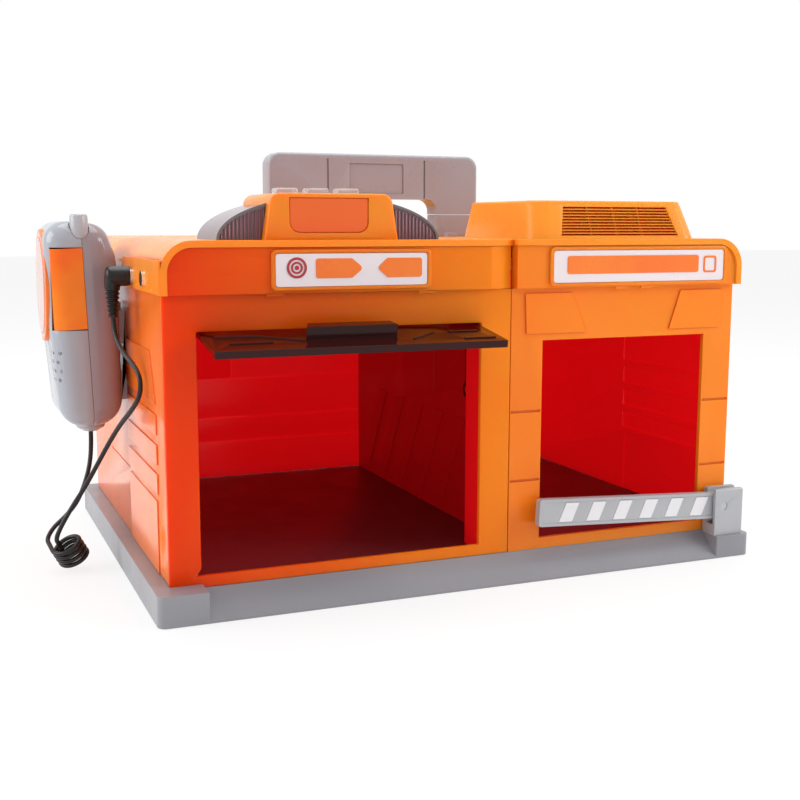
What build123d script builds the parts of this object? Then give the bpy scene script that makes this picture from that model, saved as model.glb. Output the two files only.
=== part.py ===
"""Toy parking garage with two bays, a lift-up door, a boom barrier and a corded handset.

Millimetres. x runs to the right, y to the back and z up. The origin is the centre of the
base's underside. The door stands open, as the toy is shown.
"""
from build123d import *
import math
import os

# ---------------------------------------------------------------- driving dimensions
BASE_W, BASE_D, BASE_H = 312.5, 240.0, 14.2
WALL_W = 297.0
FRONT, BACK = -106.5, 111.8
WALL_T = 2.5
WALL_TOP = 142.5
BAND_Z, ROOF_Z = 142.7, 166.0
BAND_W = 299.8
BAND_FRONT, BAND_BACK = -111.5, 113.2
SHELL_T = 3.0
ARCH_R = 14.0
FIT = 0.2
SEAM_X = 19.0
PARTITION_X = 20.5

SILL_FOOT, SILL_TOP = 12.4, 17.9
LEFT_BAY = (-134.0, 3.1, 126.6)
RIGHT_BAY = (36.4, 131.4, 117.1)

PIVOT_Y, PIVOT_Z = -60.94, 87.68
DOOR_OPEN_DEG = 81.0
DOOR_T = 2.2
DOOR_X0, DOOR_X1 = -133.0, 2.0
DOOR_Z0, DOOR_Z1 = 18.6, 123.6
DOOR_Y0 = -105.7
PIN_R, PIN_RUN = 2.0, 0.05
ARM_LEFT, ARM_RIGHT, ARM_T = -136.5, 17.5, 1.8
RETURN_TOP = 116.0

RAMP_LIP = 1.0
LEFT_PAD_X, RIGHT_PAD_X = -133.8, 135.0
RIGHT_PAD_H = 11.6

CORD_D = 2.3
JACK_Z, PLUG_Y = 148.6, -44.5
COIL_R, COIL_PITCH, COIL_TURNS = 6.9, 2.8, 4
HALF_W = WALL_W / 2
BAND_X = BAND_W / 2


# ---------------------------------------------------------------- helpers
def block(x0, x1, y0, y1, z0, z1):
    """A box between two corners."""
    return Pos((x0 + x1) / 2, (y0 + y1) / 2, (z0 + z1) / 2) * Box(x1 - x0, y1 - y0, z1 - z0)


def prism_x(points, x0, x1):
    """An outline of (y, z) points, run along x."""
    outline = Polyline(*[(x0, y, z) for y, z in points], close=True)
    return extrude(make_face(outline), amount=x1 - x0, dir=(1, 0, 0))


def prism_y(points, y0, y1):
    """An outline of (x, z) points, run along y."""
    outline = Polyline(*[(x, y0, z) for x, z in points], close=True)
    return extrude(make_face(outline), amount=y1 - y0, dir=(0, 1, 0))


def prism_z(points, z0, z1):
    """An outline of (x, y) points, run along z."""
    outline = Polyline(*[(x, y, z0) for x, y in points], close=True)
    return extrude(make_face(outline), amount=z1 - z0, dir=(0, 0, 1))


def rod(start, direction, radius, length):
    """A cylinder that starts at a point and runs in a direction."""
    return Plane(origin=start, z_dir=direction) * Cylinder(
        radius, length, align=(Align.CENTER, Align.CENTER, Align.MIN))


def plate_xz(x0, x1, z0, z1, radius, y0, y1):
    """A rounded plate in the front view, from y0 back to y1."""
    place = Plane(origin=((x0 + x1) / 2, y1, (z0 + z1) / 2), x_dir=(1, 0, 0), z_dir=(0, -1, 0))
    return place * extrude(RectangleRounded(x1 - x0, z1 - z0, radius), amount=y1 - y0)


def plate_yz(y0, y1, z0, z1, radius, x0, x1):
    """A rounded plate in the side view, from x0 to x1."""
    place = Plane(origin=(x0, (y0 + y1) / 2, (z0 + z1) / 2), x_dir=(0, 1, 0), z_dir=(1, 0, 0))
    return place * extrude(RectangleRounded(y1 - y0, z1 - z0, radius), amount=x1 - x0)


def mirrored(shape):
    """The same piece on the other side of the middle."""
    return mirror(shape, about=Plane.YZ)


def keep(name, shape):
    """Write one sub-part, named after its node."""
    shape.label = name
    export_step(shape, "parts/" + name + ".step")


# ---------------------------------------------------------------- base
def base_tray():
    """Hollow plinth: top deck, skirts, front ramp between two pads, ribs beneath."""
    hx, hy = BASE_W / 2, BASE_D / 2
    tray = block(-hx, hx, -hy, hy, 0, BASE_H)
    tray = fillet(tray.edges().filter_by(Axis.Z), 4.0)
    ramp_void = [(FRONT, SILL_FOOT), (-hy, RAMP_LIP), (-hy - 1, RAMP_LIP), (-hy - 1, BASE_H + 1),
                 (FRONT, BASE_H + 1)]
    tray -= prism_x(ramp_void, LEFT_PAD_X, RIGHT_PAD_X)
    tray -= block(RIGHT_PAD_X, hx + 1, -hy - 1, FRONT, RIGHT_PAD_H, BASE_H + 1)
    tray -= block(-HALF_W, HALF_W, FRONT, FRONT + WALL_T + FIT, SILL_FOOT, BASE_H + 1)
    cavity_y0 = FRONT + 4.0
    tray -= block(-hx + WALL_T, hx - WALL_T, cavity_y0, hy - WALL_T, -1, BASE_H - WALL_T)
    rib_span_x = (-hx + 1, hx - 1)
    for x in (-104.0, -52.0, 0.0, 52.0, 104.0):
        tray += block(x - 0.9, x + 0.9, cavity_y0 - 1, hy - 1, 1.0, BASE_H - 1)
    for y in (-50.0, 0.0, 50.0):
        tray += block(*rib_span_x, y - 0.9, y + 0.9, 1.0, BASE_H - 1)
    tray += Cylinder(9.0, BASE_H - 1, align=(Align.CENTER, Align.CENTER, Align.MIN))
    for x in (-139.0, 139.0):
        for y in (-92.0, 98.0):
            tray += rod((x, y, 0), (0, 0, 1), 5.0, BASE_H - 1)
            tray -= rod((x, y, -1), (0, 0, 1), 3.4, 8.0)
    return tray


def base_screws():
    """Four pan-head screws in the corner posts."""
    screws = []
    for x in (-139.0, 139.0):
        for y in (-92.0, 98.0):
            screws.append(rod((x, y, 4.2), (0, 0, 1), 2.9, 2.6))
    return Compound(children=screws)


# ---------------------------------------------------------------- walls
def bay_cut(bay):
    """The doorway through a front panel."""
    x0, x1, top = bay
    return block(x0, x1, FRONT - 2, FRONT + 20, SILL_TOP, top)


def facade_left():
    """Front panel of the left bay with its sill and the deep return of its right jamb.

    The return stops below the lintel, where the door's right arm passes over it."""
    panel = block(-HALF_W, SEAM_X - 0.15, FRONT, FRONT + WALL_T, SILL_FOOT, WALL_TOP)
    jamb = LEFT_BAY[1]
    panel += block(jamb, jamb + WALL_T, FRONT + WALL_T, FRONT + 17, BASE_H + FIT, RETURN_TOP)
    panel -= bay_cut(LEFT_BAY)
    foot = LEFT_BAY[0]
    panel -= prism_y([(foot - 2.2, SILL_TOP), (foot + 1, SILL_TOP), (foot + 1, SILL_TOP + 5)],
                     FRONT - 1, FRONT + WALL_T + 1)
    return panel


def facade_right():
    """Front panel of the right bay: raised wedges over the doorway, brick lines beside it."""
    panel = block(SEAM_X + 0.15, HALF_W, FRONT, FRONT + WALL_T, SILL_FOOT, WALL_TOP)
    panel -= bay_cut(RIGHT_BAY)
    raised = FRONT - 0.8
    top, foot = 140.0, 120.5
    panel += prism_y([(26.3, top), (51.8, top), (60.3, foot), (27.2, foot)], raised, FRONT)
    panel += prism_y([(115.8, top), (109.3, foot), (141.0, foot), (141.0, top)], raised, FRONT)
    for x0, x1 in ((SEAM_X, RIGHT_BAY[0]), (RIGHT_BAY[1], HALF_W)):
        for z in (82.4, 48.0):
            panel -= block(x0 + 0.6, x1 - 0.6, FRONT - 0.1, FRONT + 0.7, z - 0.6, z + 0.6)
    return panel


def side_relief(x0, x1):
    """The embossed pattern of a side wall: gable window, three louvres and a pilaster."""
    window = [(-86.7, 92.9), (-75.9, 116.2), (-11.0, 116.2), (-11.0, 92.9)]
    shape = prism_x(window, x0, x1)
    for top in (88.5, 74.9, 61.3):
        shape += block(x0, x1, -87.5, -11.5, top - 9.2, top)
    shape += block(x0, x1, -85.5, -13.5, BASE_H + FIT, 50.0 - 1.4)
    return shape


def side_wall():
    """Left wall: outside emboss that is hollow behind, so the sheet keeps its thickness."""
    out_x, in_x = -HALF_W, -HALF_W + WALL_T
    wall = block(out_x, in_x, FRONT + WALL_T + FIT, BACK, BASE_H + FIT, WALL_TOP)
    wall += side_relief(out_x - 0.7, out_x + 0.1)
    wall -= side_relief(in_x - 0.7, in_x + 0.1)
    wall -= block(out_x - 1, out_x + 0.5, -10.5, 49.5, 49.6, 50.4)
    return wall


def left_wall():
    """Left wall with the boss that carries the door's left pin."""
    boss_x = ARM_LEFT - 0.5
    wall = side_wall()
    wall += rod((-HALF_W + 0.5, PIVOT_Y, PIVOT_Z), (1, 0, 0), 4.5, boss_x + HALF_W - 0.5)
    wall -= rod((-144.0, PIVOT_Y, PIVOT_Z), (1, 0, 0), PIN_R + PIN_RUN, 20.0)
    return wall


def right_wall():
    """Right wall, the mirror of the left one."""
    return mirrored(side_wall())


def rear_wall():
    """Plain back wall with the panel lines that show through the bays."""
    half = HALF_W - WALL_T - FIT
    wall = block(-half, half, BACK - WALL_T, BACK, BASE_H + FIT, WALL_TOP)
    face = BACK - WALL_T
    for z in (37.4, 52.3, 76.8):
        wall -= block(-half + 1, half - 1, face - 0.1, face + 0.5, z - 0.5, z + 0.5)
    wall -= block(-65.0, -64.0, face - 0.1, face + 0.5, 76.8, WALL_TOP - 2)
    return wall


def partition():
    """Wall between the bays: slanted bars, a framed square and the boss of the right pin."""
    left = PARTITION_X
    wall = block(left, left + WALL_T, FRONT + WALL_T + FIT, BACK - WALL_T - FIT,
                 BASE_H + FIT, WALL_TOP)
    lean, width, pitch, foot, top = 31.0, 14.0, 28.1, 17.0, 71.0
    for i in range(5):
        y = -54.6 + i * pitch
        bar = [(y, top), (y + width, top), (y + width + lean, foot), (y + lean, foot)]
        wall += prism_x(bar, left - 0.7, left + 0.1)
    frame = [(-13.5, 80.0), (25.5, 80.0), (33.5, 86.0), (33.5, 122.0), (-13.5, 122.0)]
    wall += prism_x(frame, left - 0.7, left + 0.1)
    wall += rod((left + 1, PIVOT_Y, PIVOT_Z), (1, 0, 0), 4.5, 3.4)
    wall -= rod((left - 1, PIVOT_Y, PIVOT_Z), (1, 0, 0), PIN_R + PIN_RUN, 4.6)
    return wall


# ---------------------------------------------------------------- door
def turn_open(shape):
    """Swing a piece of the closed door up to its open place."""
    return shape.rotate(Axis((0, PIVOT_Y, PIVOT_Z), (1, 0, 0)), -DOOR_OPEN_DEG)


def door_arm(x):
    """Cranked arm beside the bay, drawn as it stands when the door is open.

    It rises from the pivot, then runs back to its tab behind the lintel."""
    crank = [(-65.4, PIVOT_Z), (-65.4, 126.5), (-63.0, 129.2), (-40.0, 131.6), (-38.6, 134.2), (-33.2, 135.0),
             (-33.0, 129.6), (-57.5, 124.2), (-58.8, 121.5), (-58.8, PIVOT_Z)]
    arm = prism_x(crank, x, x + ARM_T)
    return arm + rod((x, PIVOT_Y, PIVOT_Z), (1, 0, 0), 4.6, ARM_T)


def lift_door():
    """Smoky up-and-over panel with cranked side arms, a handle and short raised bars."""
    y0, y1 = DOOR_Y0, DOOR_Y0 + DOOR_T
    panel = block(DOOR_X0, DOOR_X1, y0, y1, DOOR_Z0, DOOR_Z1)
    panel += block(DOOR_X0, DOOR_X1, y0, y1 + 1.1, DOOR_Z0, DOOR_Z0 + 3.3)
    tab_z0, tab_z1 = RETURN_TOP + 1.0, DOOR_Z1 - 1.0
    panel += block(ARM_LEFT, DOOR_X0 + 12.0, y1 - 0.1, y1 + 2.1, tab_z0, tab_z1)
    panel += block(DOOR_X1 - 12.0, ARM_RIGHT + ARM_T, y1 - 0.1, y1 + 2.1, tab_z0, tab_z1)
    grip = [(-89.1, 33.5), (-46.3, 33.5), (-47.5, 40.5), (-86.5, 40.5)]
    panel += prism_y(grip, y0 - 5.4, y0 + 0.1)
    bars = ((-128.5, -109.7, 41.0), (-124.1, -105.0, 29.5), (-19.7, -4.7, 36.8), (-17.2, -1.6, 24.5))
    for x0, x1, z in bars:
        panel += block(x0, x1, y0 - 0.6, y0 + 0.1, z - 0.7, z + 0.7)
    panel += prism_y([(-109.7, 41.7), (-109.7, 40.3), (-90.5, 30.3), (-90.5, 31.7)], y0 - 0.6, y0 + 0.1)
    panel += prism_y([(-26.3, 38.2), (-26.3, 36.8), (-41.0, 26.3), (-41.0, 27.7)], y0 - 0.6, y0 + 0.1)
    door = turn_open(panel) + door_arm(ARM_LEFT) + door_arm(ARM_RIGHT)
    return door - rod((ARM_LEFT - 5, PIVOT_Y, PIVOT_Z), (1, 0, 0), PIN_R, 170.0)


def door_pins():
    """Two metal pins, pressed into the arms and free in the bosses."""
    left = rod((-143.5, PIVOT_Y, PIVOT_Z), (1, 0, 0), PIN_R, ARM_LEFT + ARM_T + 143.5)
    right = rod((ARM_RIGHT, PIVOT_Y, PIVOT_Z), (1, 0, 0), PIN_R, 6.3)
    return Compound(children=[left, right])


# ---------------------------------------------------------------- roof
def arch(inset):
    """Front outline of the roof shell, drawn in by an inset."""
    half, top, radius = BAND_X - inset, ROOF_Z - inset, ARCH_R - inset
    y = BAND_FRONT - 1
    k = radius * (1 - math.sqrt(0.5))
    left = Line((-half, y, BAND_Z), (-half, y, top - radius))
    corner = ThreePointArc((-half, y, top - radius), (-half + k, y, top - k), (-half + radius, y, top))
    flat = Line((-half + radius, y, top), (half - radius, y, top))
    other = ThreePointArc((half - radius, y, top), (half - k, y, top - k), (half, y, top - radius))
    right = Line((half, y, top - radius), (half, y, BAND_Z))
    close = Line((half, y, BAND_Z), (-half, y, BAND_Z))
    return make_face([left, corner, flat, other, right, close])


def arch_prism(inset, y0, y1):
    """The arch outline run from y0 to y1."""
    solid = extrude(arch(inset), amount=y1 - y0, dir=(0, 1, 0))
    return Pos(0, y0 - BAND_FRONT + 1, 0) * solid


NOTCH = ((6.6, BAND_FRONT - 1), (6.6, BAND_FRONT), (SEAM_X, FRONT), (SEAM_X + 0.8, FRONT),
         (SEAM_X + 0.8, BAND_FRONT - 1))


def roof_cover():
    """Arched lid over both bays: open front, closed back, a notch over the seam."""
    lid = arch_prism(0, BAND_FRONT, BAND_BACK)
    lid -= arch_prism(SHELL_T, BAND_FRONT - 1, BAND_BACK - SHELL_T)
    lid -= prism_z(NOTCH, BAND_Z - 1, ROOF_Z + 1)
    for x, w, y0, y1 in ((-70.5, 46.0, -100.0, -62.0), (78.5, 60.0, -94.0, -34.0)):
        lid -= block(x - w / 2, x + w / 2, y0, y1, ROOF_Z - SHELL_T - 1, ROOF_Z + 1)
    pad = plate_yz(-120.0, -20.5, 143.0, 157.5, 5.0, -BAND_X - 0.8, -BAND_X + 0.1)
    lid += pad - block(-BAND_X - 2, -BAND_X + 2, -125, BAND_FRONT, 100, 200)
    for y in (-74.5, -44.5):
        lid -= rod((-BAND_X - 2, y, JACK_Z), (1, 0, 0), 3.6, 6.0)
    lid -= block(39.2, 49.5, 10.7, 17.3, ROOF_Z - SHELL_T - 1, ROOF_Z + 1)
    return lid


def battery_door():
    """Flush cover let into the rear of the roof over the battery space."""
    return plate_top(-45.0, 45.0, 55.0, 100.0, ROOF_Z, ROOF_Z + 1.2, 4.0)


def plate_top(x0, x1, y0, y1, z0, z1, radius):
    """A rounded plate that lies flat."""
    return Pos((x0 + x1) / 2, (y0 + y1) / 2, z0) * extrude(
        RectangleRounded(x1 - x0, y1 - y0, radius), amount=z1 - z0)


def fascia_left():
    """Inset front band over the left bay, with the slanted side of the notch."""
    face = BAND_FRONT + 1.2
    plan = [(-BAND_X, face), (6.2, face), (SEAM_X - 0.3, FRONT + 0.7), (SEAM_X - 0.3, FRONT + WALL_T + 0.4),
            (5.6, face + 2.4), (-BAND_X, face + 2.4)]
    band = prism_z(plan, BAND_Z, ROOF_Z)
    band += block(-BAND_X, 5.4, face + 1.0, FRONT + WALL_T, BAND_Z, BAND_Z + 2.0)
    band = band & arch_prism(SHELL_T + 0.15, BAND_FRONT - 1, FRONT + 10)
    for x in (-99.5, -27.0):
        band += block(x - 4.0, x + 4.0, face + 0.2, face + 1.4, BAND_Z - 1.1, BAND_Z + 1)
    return band


def fascia_right():
    """Inset front band over the right bay, square at the notch."""
    face = BAND_FRONT + 1.2
    edge = SEAM_X + 1.1
    band = block(edge, BAND_X, face, face + 2.4, BAND_Z, ROOF_Z)
    band += block(edge, edge + 2.4, face, FRONT + WALL_T, BAND_Z, ROOF_Z)
    band += block(edge, BAND_X, face + 1.0, FRONT + WALL_T, BAND_Z, BAND_Z + 2.0)
    band = band & arch_prism(SHELL_T + 0.15, BAND_FRONT - 1, FRONT + 10)
    for x in (78.0, 93.0):
        band += block(x - 3.0, x + 3.0, face + 0.2, face + 1.4, BAND_Z - 1.1, BAND_Z + 1)
    return band


SIGN_LEFT = (-101.5, -25.2, 143.9, 161.9)
SIGN_RIGHT = (37.2, 140.5, 143.3, 162.3)


def sign_frame(sign):
    """Raised rim round a sign."""
    x0, x1, z0, z1 = sign
    rim = plate_xz(x0, x1, z0, z1, 2.6, BAND_FRONT - 0.2, BAND_FRONT + 1.2)
    return rim - plate_xz(x0 + 1.9, x1 - 1.9, z0 + 1.6, z1 - 1.6, 1.6, BAND_FRONT - 1, BAND_FRONT + 2)


def sign_plate(sign):
    """Bare plate inside the rim."""
    x0, x1, z0, z1 = sign
    return plate_xz(x0 + 2.1, x1 - 2.1, z0 + 1.8, z1 - 1.8, 1.4, BAND_FRONT + 0.3, BAND_FRONT + 1.2)


# ---------------------------------------------------------------- console and lamp
CONSOLE_Y0, CONSOLE_Y1, CONSOLE_TOP = -104.5, -58.0, 186.6
CONSOLE_MID = -70.5


def console_block(grow):
    """The console's outer form, grown or drawn in on every side."""
    foot, top = 31.7 + grow, 28.4 + grow
    z1 = CONSOLE_TOP + grow
    y0, y1 = CONSOLE_Y0 - grow, CONSOLE_Y1 + grow
    m = CONSOLE_MID
    body = prism_y([(m - foot, ROOF_Z), (m + foot, ROOF_Z), (m + top, z1), (m - top, z1)], y0, y1)
    ridge = [e for e in body.edges().filter_by(Axis.Y) if e.center().Z > z1 - 1]
    body = fillet(ridge, 5.0 + grow)
    return body


BUTTON_X = tuple(CONSOLE_MID - 3.4 + step * 14.6 for step in (-1, 0, 1))
BUTTON_Y = -90.0
BUTTON_W, BUTTON_D = 10.3, 9.0


def console_housing():
    """Control housing on the roof with three button wells and a recessed front."""
    shell = console_block(0)
    rims = [e for e in shell.edges() if e.center().Z > ROOF_Z + 2
            and min(abs(e.center().Y - CONSOLE_Y0), abs(e.center().Y - CONSOLE_Y1)) < 0.01]
    shell = fillet(rims, 1.2)
    shell -= Pos(0, 0, -0.01) * console_block(-2.0)
    shell -= plate_xz(-90.8, -53.4, 169.0, 190.0, 5.0, CONSOLE_Y0 - 1, CONSOLE_Y0 + 1.0) & block(
        -100, -40, -110, -100, 160, 184.6)
    for x in BUTTON_X:
        shell -= plate_top(x - BUTTON_W / 2 - 0.3, x + BUTTON_W / 2 + 0.3, BUTTON_Y - BUTTON_D / 2 - 0.3,
                           BUTTON_Y + BUTTON_D / 2 + 0.3, 180.0, 190.0, 1.6)
    return shell


def console_front():
    """Deep orange inlay in the console's front."""
    inlay = plate_xz(-90.5, -53.7, 169.3, 190.0, 4.7, CONSOLE_Y0 + 0.3, CONSOLE_Y0 + 1.0)
    return inlay & block(-100, -40, -110, -100, 160, 184.4)


def console_button(x):
    """Clear push button: a crowned cap on a flange that keeps it in its well."""
    cap = plate_top(x - BUTTON_W / 2, x + BUTTON_W / 2, BUTTON_Y - BUTTON_D / 2, BUTTON_Y + BUTTON_D / 2,
                    181.0, 189.0, 1.4)
    cap = fillet(cap.faces().sort_by(Axis.Z)[-1].edges(), 0.9)
    flange = plate_top(x - 6.4, x + 6.4, BUTTON_Y - 5.7, BUTTON_Y + 5.7, 181.0, 182.4, 1.4)
    return cap + flange


def switch_board():
    """Circuit board under the buttons with its three key domes."""
    board = block(-97.5, -43.5, -98.0, -82.0, 174.0, 175.6)
    for x in BUTTON_X:
        board += rod((x, BUTTON_Y, 175.5), (0, 0, 1), 3.0, 3.5)
    for x in (-95.5, -45.5):
        board += rod((x, -94.0, 166.0), (0, 0, 1), 1.8, 8.5)
    return board


LAMP_MID, LAMP_HALF, LAMP_RISE = -69.5, 52.5, 19.0
LAMP_Y0, LAMP_Y1 = -98.5, -59.0


def half_ellipse(half, rise, y0, y1):
    """Half an elliptical barrel that lies on the roof."""
    place = Plane(origin=(LAMP_MID, y0, ROOF_Z), x_dir=(1, 0, 0), z_dir=(0, -1, 0))
    barrel = place * extrude(Ellipse(half, rise), amount=-(y1 - y0))
    return barrel & block(-200, 60, y0 - 1, y1 + 1, ROOF_Z, ROOF_Z + 40)


def lamp_lens():
    """Smoky lens on both sides of the console, ribbed on its flat front."""
    lens = half_ellipse(LAMP_HALF, LAMP_RISE, LAMP_Y0, LAMP_Y1)
    lens -= half_ellipse(LAMP_HALF - 1.8, LAMP_RISE - 1.8, LAMP_Y0 + 1.6, LAMP_Y1 - 1.6)
    lens -= console_block(0.25)
    return lens


def lamp_rim():
    """Dark gasket along the lens's front edge."""
    rim = half_ellipse(LAMP_HALF + 0.6, LAMP_RISE + 0.6, LAMP_Y0 - 1.0, LAMP_Y0)
    rim -= half_ellipse(LAMP_HALF - 0.7, LAMP_RISE - 0.7, LAMP_Y0 - 2.0, LAMP_Y0 + 1)
    rim -= console_block(0.25)
    return rim


# ---------------------------------------------------------------- vent housing
VENT_TOP, VENT_LEAN = 184.6, 0.43


def vent_face(z):
    """Front face of the housing at a height."""
    return FRONT + (z - ROOF_Z) * VENT_LEAN


def vent_form(inset):
    """Loft from the wide foot to the smaller, set-back top of the vent housing."""
    foot = Pos(78.5, -64.5, ROOF_Z) * RectangleRounded(96.0 - 2 * inset, 84.0 - 2 * inset, 9.0 - inset)
    top = Pos(78.5, -61.5, VENT_TOP - inset) * RectangleRounded(88.6 - 2 * inset, 74.0 - 2 * inset, 9.0 - inset)
    return loft([foot, top])


def vent_housing():
    """Tapered speaker housing on the roof with a louvred front."""
    form = vent_form(0)
    crown = form.faces().sort_by(Axis.Z)[-1].edges()
    form = fillet(crown, 1.5)
    form -= Pos(0, 0, -0.01) * vent_form(2.0)
    form -= vent_window(0)
    return form


def vent_window(inset):
    """The louvred opening, narrower at its top."""
    outline = [(46.2 + inset, 167.6 + inset), (113.8 - inset, 167.6 + inset),
               (110.0 - inset, 181.6 - inset), (50.0 + inset, 181.6 - inset)]
    return prism_y(outline, -108.0, -97.0)


def vent_louvres():
    """Nine sloping slats in one grille, set in the front of the housing."""
    grille = None
    for i in range(9):
        z = 168.4 + i * 1.45
        y = vent_face(z) + 0.4
        slat = prism_x([(y, z), (y + 2.0, z + 0.5), (y + 2.0, z + 1.0), (y, z + 0.5)], 44.0, 116.0)
        grille = slat if grille is None else grille + slat
    low, high = 167.8, 181.4
    for x in (64.0, 78.5, 93.0):
        bar = [(vent_face(low) + 1.2, low), (vent_face(low) + 2.6, low), (vent_face(high) + 2.6, high),
               (vent_face(high) + 1.2, high)]
        grille += prism_x(bar, x - 0.6, x + 0.6)
    return grille & vent_window(0.15)


def speaker():
    """Round speaker under the roof below the vent housing."""
    cone = rod((78.5, -64.0, 153.0), (0, 0, 1), 23.0, 4.0)
    cone += rod((78.5, -64.0, 147.5), (0, 0, 1), 10.0, 6.0)
    for x in (50.0, 107.0):
        cone += block(x - 7, x + 7, -68.0, -60.0, 156.0, 163.0)
    return cone


# ---------------------------------------------------------------- carry handle
HANDLE_Y0, HANDLE_Y1 = 22.5, 36.5
HANDLE_HALF, POST_W, HANDLE_TOP, GRIP_Z, HANDLE_SEAM = 63.3, 26.0, 212.0, 187.2, 178.7


def handle_outline():
    """The whole handle, feet and grip in one."""
    body = plate_xz(-HANDLE_HALF, HANDLE_HALF, ROOF_Z - 10, HANDLE_TOP, 7.0, HANDLE_Y0, HANDLE_Y1)
    inner = HANDLE_HALF - POST_W
    body -= plate_xz(-inner, inner, ROOF_Z - 20, GRIP_Z, 6.5, HANDLE_Y0 - 1, HANDLE_Y1 + 1)
    return body


def handle_feet():
    """Two feet that stand on the roof."""
    return handle_outline() & block(-80, 80, 0, 60, ROOF_Z, HANDLE_SEAM - 0.15)


def carry_handle():
    """Grip with softened edges, two panel joints and a shallow framed field."""
    grip = handle_outline() & block(-80, 80, 0, 60, HANDLE_SEAM + 0.15, 230)
    outer = [e for e in grip.edges() if e.center().Z > HANDLE_SEAM + 1
             and (abs(e.center().X) > HANDLE_HALF - 5 or e.center().Z > HANDLE_TOP - 5)
             and min(abs(e.center().Y - HANDLE_Y0), abs(e.center().Y - HANDLE_Y1)) < 0.01]
    grip = fillet(outer, 1.8)
    for y in (HANDLE_Y0, HANDLE_Y1):
        for x in (-29.3, 29.3):
            grip -= block(x - 0.5, x + 0.5, y - 0.5, y + 0.5, GRIP_Z + 0.5, HANDLE_TOP - 3.0)
        grip -= plate_xz(-16.4, 16.3, 190.1, 206.8, 0.8, y - 0.5, y + 0.5)
    return grip


def power_switch():
    """Slide switch with a ribbed thumb pad in the roof beside the handle."""
    knob = block(39.5, 45.0, 11.0, 17.0, 164.4, 168.2)
    knob += block(36.8, 48.0, 9.7, 18.3, 162.0 - 1.6, 162.0)
    knob += block(40.0, 44.5, 11.5, 16.5, 161.0, 165.0)
    return knob


# ---------------------------------------------------------------- boom barrier
BOOM_PIVOT = (140.5, 27.0)
BOOM_TILT = 3.0
BOOM_Y0, BOOM_Y1 = -115.4, -111.4


def barrier_post():
    """Post on the right pad, forked for the arm's pin."""
    post = block(134.8, 152.2, -117.8, -107.6, RIGHT_PAD_H, 36.3)
    post = fillet(post.faces().sort_by(Axis.Z)[-1].edges(), 1.2)
    post -= rod((BOOM_PIVOT[0], -120.0, BOOM_PIVOT[1]), (0, 1, 0), PIN_R + PIN_RUN, 20.0)
    return post - block(130.0, 160.0, BOOM_Y0 - 0.5, BOOM_Y1 + 0.5, 17.5, 40.0)


def boom(shape):
    """Tip an arm piece up by its rest tilt."""
    axis = Axis((BOOM_PIVOT[0], 0, BOOM_PIVOT[1]), (0, 1, 0))
    return shape.rotate(axis, BOOM_TILT)


def barrier_arm():
    """Arm with a rim and slanted windows, rounded about its pivot."""
    x0, half = 31.5, 6.8
    x, z = BOOM_PIVOT
    arm = plate_xz(x0, x, z - half, z + half, 1.6, BOOM_Y0, BOOM_Y1)
    arm += block(x - 3, x, BOOM_Y0, BOOM_Y1, z - half, z + half)
    arm += rod((x, BOOM_Y0, z), (0, 1, 0), half, BOOM_Y1 - BOOM_Y0)
    arm -= plate_xz(x0 + 1.6, 136.0, z - half + 1.4, z + half - 1.4, 1.0, BOOM_Y0 - 1, BOOM_Y0 + 0.5)
    for i in range(6):
        arm -= prism_y(stripe(i, 0.15), BOOM_Y0 - 1, BOOM_Y0 + 1.3)
    arm -= rod((x, -120.0, z), (0, 1, 0), PIN_R, 20.0)
    return boom(arm)


def stripe(i, grow):
    """Outline of one slanted stripe."""
    x = 43.0 + i * 15.6
    return [(x - grow, 22.2 - grow), (x + 7.4 + grow, 22.2 - grow), (x + 11.0 + grow, 31.8 + grow),
            (x + 3.6 - grow, 31.8 + grow)]


def barrier_stripes():
    """White inlays in the arm's windows."""
    return Compound(children=[boom(prism_y(stripe(i, 0), BOOM_Y0 + 0.35, BOOM_Y0 + 1.3)) for i in range(6)])


def barrier_pin():
    """Pin through the fork and the arm."""
    return rod((BOOM_PIVOT[0], -117.4, BOOM_PIVOT[1]), (0, 1, 0), PIN_R, 9.4)


# ---------------------------------------------------------------- handset
SET_IN, SET_OUT, SET_PART = -152.4, -189.7, -169.5
SET_Y0, SET_Y1 = -27.5, 24.5
SET_MID_Y = -1.5
HOOK_X0, HOOK_X1 = -151.0, -150.1


def handset_form(inset):
    """The handset's rounded body, narrower at its lower end."""
    a, b = SET_IN - inset, SET_OUT + inset
    outline = Polyline((a, 0, 73.0 + inset), (a, 0, 174.0 - inset), (b, 0, 173.0 - inset), (b, 0, 145.0),
                       (b + 4.5, 0, 74.0 + inset), close=True)
    face = make_face(outline)
    radii = {0: 11.0, 1: 8.0, 2: 10.0, 4: 12.0}
    corners = ((a, 73.0 + inset), (a, 174.0 - inset), (b, 173.0 - inset), (b, 145.0), (b + 4.5, 74.0 + inset))
    for index, radius in radii.items():
        x, z = corners[index]
        vertex = face.vertices().sort_by_distance((x, 0, z))[0]
        face = fillet(vertex, radius)
    body = extrude(face, amount=SET_Y1 - SET_Y0 - 2 * inset, dir=(0, 1, 0))
    body = Pos(0, SET_Y0 + inset, 0) * body
    if inset == 0:
        rims = [e for e in body.edges() if abs(e.center().Y - SET_Y0) < 0.01 or abs(e.center().Y - SET_Y1) < 0.01]
        body = fillet(rims, 5.0)
    return body


ANTENNA_AT = (-171.1, -23.6)


def handset_cuts():
    """What both shells leave room for: the antenna's seat and the cord gland."""
    cut = rod((ANTENNA_AT[0], ANTENNA_AT[1], 163.9), (0, 0, 1), 4.55, 20.0)
    cut += rod((-166.3, SET_MID_Y, 70.0), (0, 0, 1), 5.2, 6.0)
    cut += prism_y(talk_outline(0.3), SET_Y0 - 1, SET_Y0 + 1.9)
    return cut


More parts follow.
